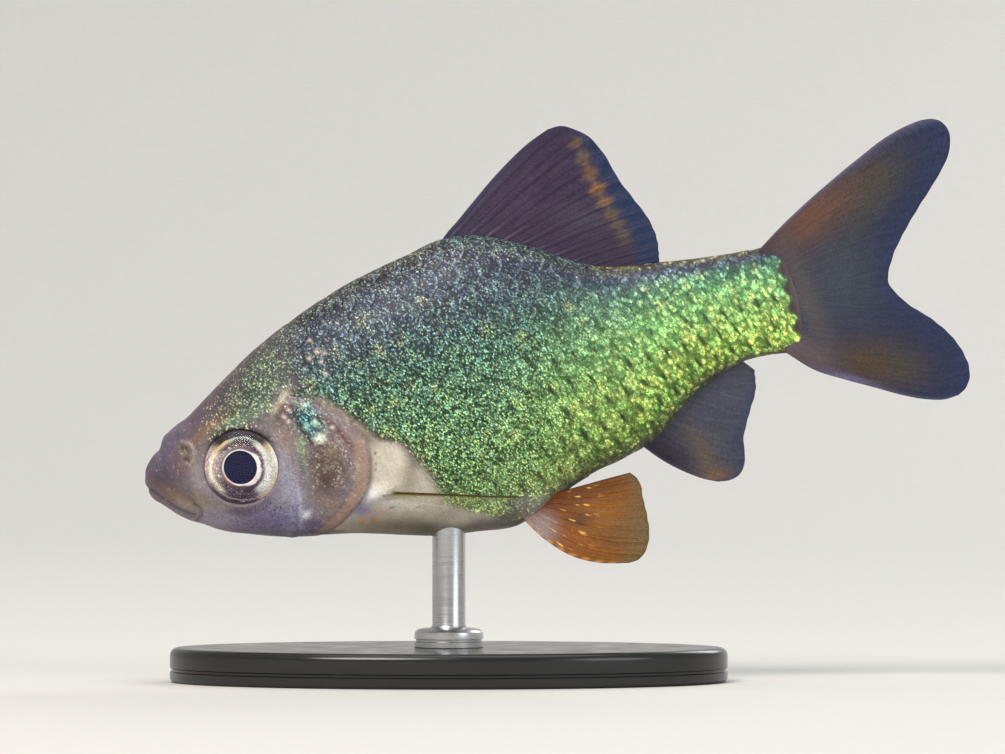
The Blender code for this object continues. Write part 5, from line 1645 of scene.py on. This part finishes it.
@dataclass(frozen=True)
class Fins:
    """The seven fins: dorsal, caudal and anal, and the pelvic and pectoral pairs."""

    root_sink: float = 0.55
    pelvic_splay: float = math.radians(24.0)
    pectoral_spread: float = math.radians(30.0)

    def dorsal(self) -> FanFin:
        """The tall fin on the back."""
        start = np.linspace(25.6, 39.9, 12)
        back, _, _ = BODY.section(start)
        root = np.stack([start, 0.0 * start, back - self.root_sink], axis=-1)
        edge = upright(((35.9, 17.75), (36.8, 17.75), (37.8, 17.25), (38.8, 16.3), (39.5, 14.85), (40.1, 12.7),
                        (40.85, 10.9), (41.5, 9.25), (41.72, 7.8), (41.45, 5.88)))
        lead = np.vstack([root[:1], upright(((26.5, 12.12), (27.4, 12.72), (28.7, 13.66), (31.55, 15.63),
                                             (34.3, 17.16))), edge[:1]])
        trail = np.vstack([root[-1:], upright(((40.5, 5.85),)), edge[-1:]])
        return FanFin("dorsal_fin_rays", FinPaint.DORSAL, "dorsal_fin", root, lead, trail, edge, 12, 1.9, stiff=2.6,
                      ridge=0.035)

    def anal(self) -> FanFin:
        """The fin under the tail stalk."""
        start = np.linspace(36.4, 45.3, 12)
        _, belly, _ = BODY.section(start)
        root = np.stack([start, 0.0 * start, belly + self.root_sink], axis=-1)
        edge = upright(((41.5, -11.2), (42.4, -11.3), (43.2, -11.1), (43.8, -10.3), (44.2, -8.5), (45.1, -6.8),
                        (46.05, -5.1), (46.3, -3.75)))
        lead = np.vstack([root[:1], upright(((38.0, -8.72), (39.4, -9.95), (40.4, -10.65))), edge[:1]])
        trail = np.vstack([root[-1:], edge[-1:]])
        return FanFin("anal_fin_rays", FinPaint.ANAL, "anal_fin", root, lead, trail, edge, 9, 1.6)

    def caudal(self) -> FanFin:
        """The forked tail fin."""
        root = upright(((48.9, 4.9), (49.3, 3.0), (49.5, 1.0), (49.3, -1.2), (48.9, -3.1)))
        edge = upright(((64.05, 11.12), (64.58, 10.82), (64.9, 10.3), (65.02, 9.65), (64.9, 8.95), (64.3, 7.85),
                        (63.1, 6.55), (61.5, 5.05), (59.9, 3.45), (58.4, 1.6), (57.75, 0.1), (58.5, -1.55),
                        (60.3, -3.6), (61.3, -5.1), (61.85, -6.6), (61.97, -7.6), (61.8, -8.45), (61.38, -9.08),
                        (60.7, -9.5)))
        lead = np.vstack([root[:1], upright(((51.0, 6.2), (52.8, 7.2), (55.3, 8.45), (58.0, 9.7), (60.6, 10.75),
                                             (62.4, 11.16), (63.35, 11.22))), edge[:1]])
        trail = np.vstack([root[-1:], upright(((50.7, -4.95), (52.7, -6.2), (54.7, -7.35), (56.7, -8.5),
                                               (58.3, -9.22), (59.6, -9.56))), edge[-1:]])
        fork = math.log(0.585) / math.log(0.5)
        return FanFin("caudal_fin_rays", FinPaint.CAUDAL, "caudal_fin", root, lead, trail, edge, 19, 1.0, fork,
                      ridge=0.016, root_half=0.36, root_reach=0.45, rows=72, per_ray=18)

    def pelvic(self, side: float) -> FanFin:
        """A fin of the pair under the belly, splayed outward."""
        angle = np.array([math.radians(163.0)] * 2)
        front, rear = BODY.point(np.array([26.3, 28.9]), angle)
        inward = np.array([0.0, -math.sin(self.pelvic_splay), math.cos(self.pelvic_splay)]) * 0.35
        root = np.stack([front + inward, 0.5 * (front + rear) + inward, rear + inward])

        def splayed(points: Curve) -> Array:
            """Points of the side view, laid on the splayed plane of the fin."""
            return np.array([(x, front[1] + (front[2] - z) * math.tan(self.pelvic_splay), z) for x, z in points])

        edge = splayed(((33.4, -15.25), (34.3, -15.15), (35.0, -14.55), (35.45, -13.6), (35.65, -12.3),
                        (35.7, -10.9), (35.75, -9.6), (35.3, -8.85)))
        lead = np.vstack([root[:1], splayed(((27.8, -12.05), (29.5, -13.75), (31.2, -14.65))), edge[:1]])
        trail = np.vstack([root[-1:], edge[-1:]])
        parts = [part * np.array([1.0, side, 1.0]) for part in (root, lead, trail, edge)]
        name = "pelvic_fin_left_rays" if side < 0 else "pelvic_fin_right_rays"
        return FanFin(name, FinPaint.PELVIC, "pelvic_fin", parts[0], parts[1], parts[2], parts[3], 8, 1.0,
                      per_ray=20, rows=56, root_half=0.3)

    def pectoral(self, side: float) -> FanFin:
        """A fin of the pair behind the gill covers, held level and swept back."""
        pitch = POSE.head_down
        level_back = np.array([math.cos(pitch), 0.0, -math.sin(pitch)])
        level_down = np.array([-math.sin(pitch), 0.0, -math.cos(pitch)])
        _, _, width = BODY.section(np.array([17.2]))
        angle = BODY.angle_of(np.array([17.2]), np.array([-5.55]))
        skin = BODY.point(np.array([17.2]), angle)[0][1]
        base = np.array([17.2, skin + 0.3, -5.55])

        def place(back: float, out: float, down: float) -> Array:
            """A point of the fin from its base: back, out from the body and down."""
            return base + level_back * back + np.array([0.0, out, 0.0]) + level_down * down

        reach = math.tan(self.pectoral_spread)
        root = np.array([place(-0.55 + 0.75 * u, -0.35, 0.5 * u) for u in np.linspace(0, 1, 4)])
        swept = [place(x, 0.25 + x * reach * (1.0 - 0.018 * x), 0.02 * x) for x in (2.5, 5.5, 8.5)]
        lead = np.array([root[0], *swept, place(10.2, 0.25 + 10.2 * reach * 0.83, 0.15)])
        edge = np.array([lead[-1], *(place(*spot) for spot in (
            (10.4, 3.9, 0.3), (9.9, 3.0, 0.45), (8.9, 2.2, 0.6), (7.4, 1.55, 0.75), (5.6, 1.05, 0.9)))])
        trail = np.array([root[-1], place(3.2, 0.75, 0.8), edge[-1]])
        parts = [part * np.array([1.0, side, 1.0]) for part in (root, lead, trail, edge)]
        name = "pectoral_fin_left_rays" if side < 0 else "pectoral_fin_right_rays"
        return FanFin(name, FinPaint.PECTORAL, "pectoral_fin", parts[0], parts[1], parts[2], parts[3], 10,
                      membrane=0.035, ridge=0.06, root_half=0.16, wave=0.06, rows=48, per_ray=14, scallop=0.07)

    def build(self) -> None:
        """Build and dress every fin."""
        self.dorsal().build("dorsal_fin")
        self.anal().build("anal_fin")
        self.caudal().build("caudal_fin")
        for side, word in ((LEFT, "left"), (RIGHT, "right")):
            self.pelvic(side).build(f"pelvic_fin_{word}")
            self.pectoral(side).build(f"pectoral_fin_{word}")


@dataclass
class Eye:
    """An eye: iris, pupil and the ball behind them, and a clear cornea over all."""

    side: float
    centre: tuple[float, float] = (7.18, -0.95)
    radius: float = 2.84
    pupil: float = 1.27
    bulge: float = 0.6
    iris_drop: float = 0.46
    saddle: float = 0.42
    forward: float = math.radians(9.5)
    up: float = math.radians(-3.5)
    steps: int = 144

    def iris_level(self, reach: float) -> float:
        """Level of the iris along the eye's axis at a reach from it."""
        share = max(0.0, (reach - self.pupil) / (self.radius - self.pupil))
        return self.bulge - 0.27 - self.iris_drop * share ** 1.5

    def frame(self) -> tuple[Array, Array]:
        """Where the eye sits.

        Returns:
            Its middle, and its three directions: towards the tail, up and out.
        """
        place = np.array([self.centre[0]])
        angle = BODY.angle_of(place, np.array([self.centre[1]]))
        middle = BODY.point(place, angle)[0] * np.array([1.0, self.side, 1.0])
        out = np.array([-math.sin(self.forward), self.side * math.cos(self.forward), math.sin(self.up)])
        out = out / np.linalg.norm(out)
        tailward = np.array([1.0, 0.0, 0.0])
        tailward = tailward - out * np.dot(tailward, out)
        tailward = tailward / np.linalg.norm(tailward)
        up = np.cross(out, tailward) if self.side < 0 else np.cross(tailward, out)
        up = up if up[2] > 0 else -up
        return middle, np.stack([tailward, up, out])

    def turned(self, name: str, profile: list[tuple[float, float]], painted: bool) -> Object:
        """Turn a profile round the eye's axis.

        Args:
            name: the piece's name.
            profile: reach from the axis and level along it, from the front to the back.
            painted: whether the piece carries the iris colours.

        Returns:
            The object, not dressed yet.
        """
        middle, axes = self.frame()
        shape = np.array(profile)
        theta = np.linspace(0.0, 2 * math.pi, self.steps, endpoint=False)
        rings = shape[1:-1]
        fall = self.saddle * (rings[:, :1] / self.radius * np.sin(theta)) ** 2
        local = np.stack([rings[:, :1] * np.cos(theta), rings[:, :1] * np.sin(theta), rings[:, 1:] - fall], axis=-1)
        flat = np.concatenate([local.reshape(-1, 3), [[0.0, 0.0, shape[0, 1]]], [[0.0, 0.0, shape[-1, 1]]]])
        points = middle + flat @ axes
        faces = capped_faces(len(rings), self.steps)
        if self.side > 0:
            faces = [part[:, ::-1] for part in faces]
        marks = self.iris_marks(flat) if painted else None
        return make_piece(name, POSE.place(points), faces, marks)

    def iris_marks(self, local: Array) -> Marks:
        """Colours of the iris by reach from the pupil and by direction.

        Args:
            local: points of the eye: towards the tail, up and out.

        Returns:
            The marks of every point.
        """
        reach = np.hypot(local[:, 0], local[:, 1])
        theta = np.arctan2(local[:, 1], local[:, 0]) + POSE.head_down
        inside = reach < self.pupil
        wobble = 0.03 * np.sin(3 * theta + 1.1) + 0.022 * np.sin(7 * theta + 0.4) + 0.016 * np.sin(17 * theta)
        reach = reach + wobble * ease(1.3, 1.6, reach)

        def facing(degrees: float) -> Array:
            """How far each point lies on the side of the eye that an angle of the side view gives."""
            return np.clip(np.cos(theta - math.radians(degrees)), 0.0, 1.0)

        tail, nose, top, low = facing(2.0), facing(172.0), facing(92.0), facing(268.0)
        ground = np.broadcast_to(tint("#776069"), (len(reach), 3))
        ground = brush(ground, "#b9a6aa", 0.75 * ease(0.3, 0.9, nose) * ease(1.4, 1.6, reach))
        ground = brush(ground, "#3c2e42", 0.92 * ease(0.45, 0.85, top) * ease(1.55, 1.75, reach))
        ground = brush(ground, "#43344a", 0.88 * ease(0.3, 0.8, low) * ease(1.45, 1.6, reach))
        ground = brush(ground, "#f4f0ea", 0.97 * ease(0.35, 0.75, tail) * ease(1.8, 2.00, reach))
        ground = brush(ground, "#b4c4ac", 0.6 * ease(0.2, 0.8, facing(35.0)) * ease(0.3, 0.7, tail)
                       * bell(reach - 2.35, 0.22))
        ground = brush(ground, "#dcae6c", 0.7 * ease(0.7, 0.97, facing(-30.0)) * bell(reach - 2.7, 0.09))
        ground = brush(ground, "#fff7e0", 0.98 * ease(0.3, 0.62, nose) * bell(reach - 2.28, 0.19))
        ground = brush(ground, "#cfa556", 0.8 * ease(0.86, 0.98, facing(135.0)) * bell(reach - 2.3, 0.2))
        ground = brush(ground, "#cfa556", 0.75 * ease(0.92, 0.99, facing(45.0)) * bell(reach - 2.5, 0.17))
        ground = brush(ground, "#d8c9c6", 0.8 * ease(0.35, 0.8, low) * bell(reach - 2.52, 0.045))
        ground = brush(ground, "#a9b8a8", 0.9 * ease(0.78, 0.93, top) * bell(reach - 2.2, 0.07))
        # Painted shade of the brow: the top of the iris is painted near black, with a lighter band in it as a painted
        # sheen.
        ground = brush(ground, "#1f1821", 0.97 * ease(0.5, 0.78, top) * ease(2.26, 2.34, reach))
        ground = brush(ground, "#3b3344", 0.6 * ease(0.8, 0.97, top) * bell(reach - 2.62, 0.1))
        ground = brush(ground, "#ffffff", 0.95 * ease(0.8, 0.96, facing(-25.0)) * bell(reach - 2.15, 0.26))
        ring = 1.36 + 0.24 * ease(0.3, 0.9, facing(-8.0))
        ground = brush(ground, "#46305a", 0.75 * tail * bell(reach - ring - 0.17, 0.08))
        ground = brush(ground, "#fffbf8", 0.98 * (1.0 - ease(ring - 0.03, ring + 0.06, reach)))
        ground = brush(ground, "#cf7f52", 0.65 * ease(0.8, 0.97, facing(222.0)) * bell(reach - 1.35, 0.07))
        ground = np.where(inside[:, None], tint("#12143f"), ground)
        glint = blend(np.broadcast_to(tint("#f6e6e0"), ground.shape), tint("#a48f9c"), ease(0.3, 0.8, low))
        grains = 0.46 + 0.25 * ease(0.5, 1.0, low) * ease(1.5, 2.0, reach) + 0.3 * nose
        # Glints are held back at the top of the iris, in the painted shade of the brow.
        painted_shading = 1.0 - 0.9 * ease(0.4, 0.75, top) * ease(1.75, 2.0, reach)
        glitter = grains * ease(1.45, 1.6, reach) * painted_shading * (reach < 2.7) * ~inside
        grain = np.stack([local[:, 0], local[:, 2], local[:, 1]], axis=-1)
        return Marks(ground, glint, glitter, np.zeros(len(reach)), grain)

    def build(self) -> None:
        """Build the ball and the cornea and dress them."""
        word = "left" if self.side < 0 else "right"
        profile = [(0.0, self.iris_level(0.0) - 0.12)]
        profile += [(self.pupil * step / 8, self.iris_level(0.0) - 0.12) for step in range(1, 8)]
        front = self.iris_level(0.0)
        profile += [(self.pupil - 0.004, front - 0.12), (self.pupil + 0.002, front - 0.02)]
        for step in range(1, 41):
            reach = self.pupil + 0.01 + (self.radius - 0.05 - self.pupil) * step / 40
            profile.append((reach, self.iris_level(reach)))
        level = profile[-1][1]
        for step in range(1, 9):
            turn = 0.5 * math.pi * step / 8
            profile.append((self.radius * math.cos(turn) * 0.985, level - 0.05 - 0.95 * math.sin(turn)))
        profile[-1] = (0.0, level - 1.00)
        ball = self.turned(f"eyeball_{word}", profile, True)
        finish = GuanineSkin("guanine_iris", speck=(0.085, 0.085, 0.085), clump=0.5, relief=0.012, wet=0.0,
                             mottle=0.11, roughness=0.45, stray=0.15)
        dress(ball, finish.material(), "eye", f"eye_{word}")
        edge = 0.93 * self.radius
        cap = []
        for step in range(0, 29):
            reach = edge * step / 28
            cap.append((reach, self.iris_level(reach) + 0.02 + 0.27 * (1.0 - (reach / edge) ** 2)))
        for step in range(27, -1, -1):
            reach = (edge - 0.01) * step / 28
            cap.append((reach, self.iris_level(reach) + 0.012))
        cornea = self.turned(f"cornea_{word}", cap, False)
        dress(cornea, CorneaFilm().material(), "eye")


@dataclass
class Stand:
    """Oval black base and a turned steel rod with a collar."""

    steps: int = 192
    edge: float = 0.6
    groove: float = 0.12

    def turned(self, name: str, rings: list[tuple[float, float, float]], centre: tuple[float, float]) -> Object:
        """Build a closed form from level rings.

        Args:
            name: the piece's name.
            rings: half length, half width and level of each ring, from the top down.
            centre: where the rings' middle is.

        Returns:
            The object, not dressed yet.
        """
        theta = np.linspace(0.0, 2 * math.pi, self.steps, endpoint=False)
        points = np.array([[(centre[0] + a * math.cos(t), centre[1] + b * math.sin(t), level) for t in theta]
                           for a, b, level in rings])
        flat = np.concatenate([points.reshape(-1, 3), [[*centre, rings[0][2]]], [[*centre, rings[-1][2]]]])
        return make_piece(name, flat * MM, capped_faces(len(rings), self.steps), crease=35.0)

    def build(self) -> None:
        """Build the base and the rod and dress them."""
        low, high = (np.array(corner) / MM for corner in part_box("stand_base"))
        centre = tuple(0.5 * (low + high)[:2])
        half = 0.5 * (high - low)
        rings = [(half[0] * share, half[1] * share, high[2]) for share in (0.3, 0.6, 0.85)]
        for step in range(9):
            turn = 0.5 * math.pi * step / 8
            inset = self.edge * (1.0 - math.sin(turn))
            rings.append((half[0] - inset, half[1] - inset, high[2] - self.edge * (1.0 - math.cos(turn))))
        for inset, level in ((0.0, 1.1), (self.groove, 1.02), (self.groove, 0.86), (0.0, 0.78), (0.0, 0.25),
                             (0.2, 0.04), (0.4, 0.0), (half[0] * 0.4, 0.0)):
            rings.append((half[0] - inset, half[1] - inset, low[2] + level))
        base = self.turned("stand_base_oval", rings, centre)
        dress(base, PolishedAcrylic().material(), "stand_base", "stand_base")

        low, high = (np.array(corner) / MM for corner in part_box("stand_rod"))
        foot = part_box("stand_base")[1].z / MM - 0.05
        centre = tuple(0.5 * (low + high)[:2])
        collar = 0.5 * (high[0] - low[0])
        profile = [(1.0, high[2] + 0.9), (1.22, high[2] + 0.7), (1.25, high[2] + 0.4), (1.25, foot + 1.75),
                   (1.36, foot + 1.55), (1.9, foot + 1.5), (2.32, foot + 1.42), (collar - 0.05, foot + 1.22),
                   (collar, foot + 1.0), (collar, foot + 0.72), (collar - 0.12, foot + 0.66),
                   (collar - 0.12, foot + 0.54), (collar, foot + 0.48), (collar, foot + 0.1), (collar - 0.1, foot)]
        rod = self.turned("stand_rod_turned", [(reach, reach, level) for reach, level in profile], centre)
        dress(rod, TurnedSteel().material(), "stand_rod", "stand_rod")


@dataclass
class Studio:
    """Pale seamless floor, soft lights and the camera at the photograph's angle."""

    floor_radius: float = 0.42
    wall_radius: float = 1.1
    wall_height: float = 1.2
    lens: float = 240.0
    sensor: float = 36.0
    frame_width: float = 75.66
    look_at: tuple[float, float] = (-4.25, 22.95)

    def floor(self) -> Object:
        """The floor, which curves up into a wall all round."""
        radii = [0.02, 0.1, 0.3, self.floor_radius]
        levels = [0.0, 0.0, 0.0, 0.0]
        bend = self.wall_radius - self.floor_radius
        for step in range(1, 13):
            turn = 0.5 * math.pi * step / 12
            radii.append(self.floor_radius + bend * math.sin(turn))
            levels.append(bend * (1.0 - math.cos(turn)))
        radii.append(self.wall_radius)
        levels.append(self.wall_height)
        theta = np.linspace(0.0, 2 * math.pi, 96, endpoint=False)
        points = np.array([[(r * math.cos(t), r * math.sin(t), z) for t in theta] for r, z in zip(radii, levels)])
        flat = np.concatenate([points.reshape(-1, 3), [[0.0, 0.0, 0.0]]])
        obj = make_piece("studio_floor", flat, capped_faces(len(radii), len(theta))[:2])
        obj.data.materials.append(MattePaper().material())
        obj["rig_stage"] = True
        return obj

    def light(self, name: str, place: tuple[float, float, float], size: float, power: float, colour: str) -> None:
        """Add one soft light that faces the fish.

        Args:
            name: the light's name.
            place: where it is, in metres.
            size: its width, in metres.
            power: its power, in watts.
            colour: its colour.
        """
        data = bpy.data.lights.new(name, "AREA")
        data.shape = "DISK"
        data.size = size
        data.energy = power
        data.color = linear(colour)[:3]
        lamp = bpy.data.objects.new(name, data)
        lamp.location = place
        target = np.array([0.0, 0.0, 0.024])
        direction = target - np.array(place)
        lamp.rotation_euler = direction_angles(direction)
        bpy.context.scene.collection.objects.link(lamp)

    def camera(self) -> None:
        """Set the camera level with the fish, square to its side."""
        data = bpy.data.cameras.new("camera")
        data.lens = self.lens
        data.sensor_width = self.sensor
        data.clip_start = 0.01
        distance = self.frame_width * self.lens / self.sensor * MM
        eye = bpy.data.objects.new("camera", data)
        eye.location = (self.look_at[0] * MM, -distance, self.look_at[1] * MM)
        eye.rotation_euler = (math.pi / 2, 0.0, 0.0)
        bpy.context.scene.collection.objects.link(eye)
        bpy.context.scene.camera = eye

    def build(self) -> None:
        """Set the floor, the lights, the surroundings and the camera."""
        self.floor()
        self.light("key", (-0.28, -0.52, 0.66), 0.4, 5.4, "#fffaf2")
        self.light("fill", (0.62, -0.5, 0.36), 0.46, 1.5, "#f4f7ff")
        self.light("top", (0.03, 0.07, 0.9), 0.7, 1.8, "#ffffff")
        self.light("rim", (0.4, 0.66, 0.48), 0.36, 1.7, "#f6f8ff")
        world = bpy.data.worlds.new("studio_air")
        world.use_nodes = True
        background = world.node_tree.nodes["Background"]
        background.inputs["Color"].default_value = linear("#eef0f2")
        background.inputs["Strength"].default_value = 0.6
        bpy.context.scene.world = world
        bpy.context.scene.view_settings.view_transform = "Standard"
        self.camera()


def direction_angles(direction: Array) -> tuple[float, float, float]:
    """Angles that turn a light or camera to face a direction."""
    x, y, z = direction / np.linalg.norm(direction)
    return (math.acos(-z), 0.0, math.atan2(y, x) - math.pi / 2)


def clear_strays() -> None:
    """Remove what an empty scene starts with."""
    for stray in list(bpy.data.objects):
        if "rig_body" not in stray and not stray.name.startswith("body:"):
            bpy.data.objects.remove(stray, do_unlink=True)


def main() -> None:
    """Build the fish, its stand and the studio round it."""
    logging.basicConfig(level=logging.INFO, format="%(name)s: %(message)s")
    clear_strays()
    Skin().build()
    for side in (LEFT, RIGHT):
        ScaleCoat(side).build()
        Eye(side).build()
    Fins().build()
    Stand().build()
    Studio().build()
    bounds = {"cad": [list(corner) for corner in CAD_BOX], "visual": [list(corner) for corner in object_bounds()]}
    sizes = {name: np.round(np.array(box) / MM, 2).tolist() for name, box in bounds.items()}
    log.info("boxes in millimetres: %s", sizes)


if __name__ == "__main__":
    main()
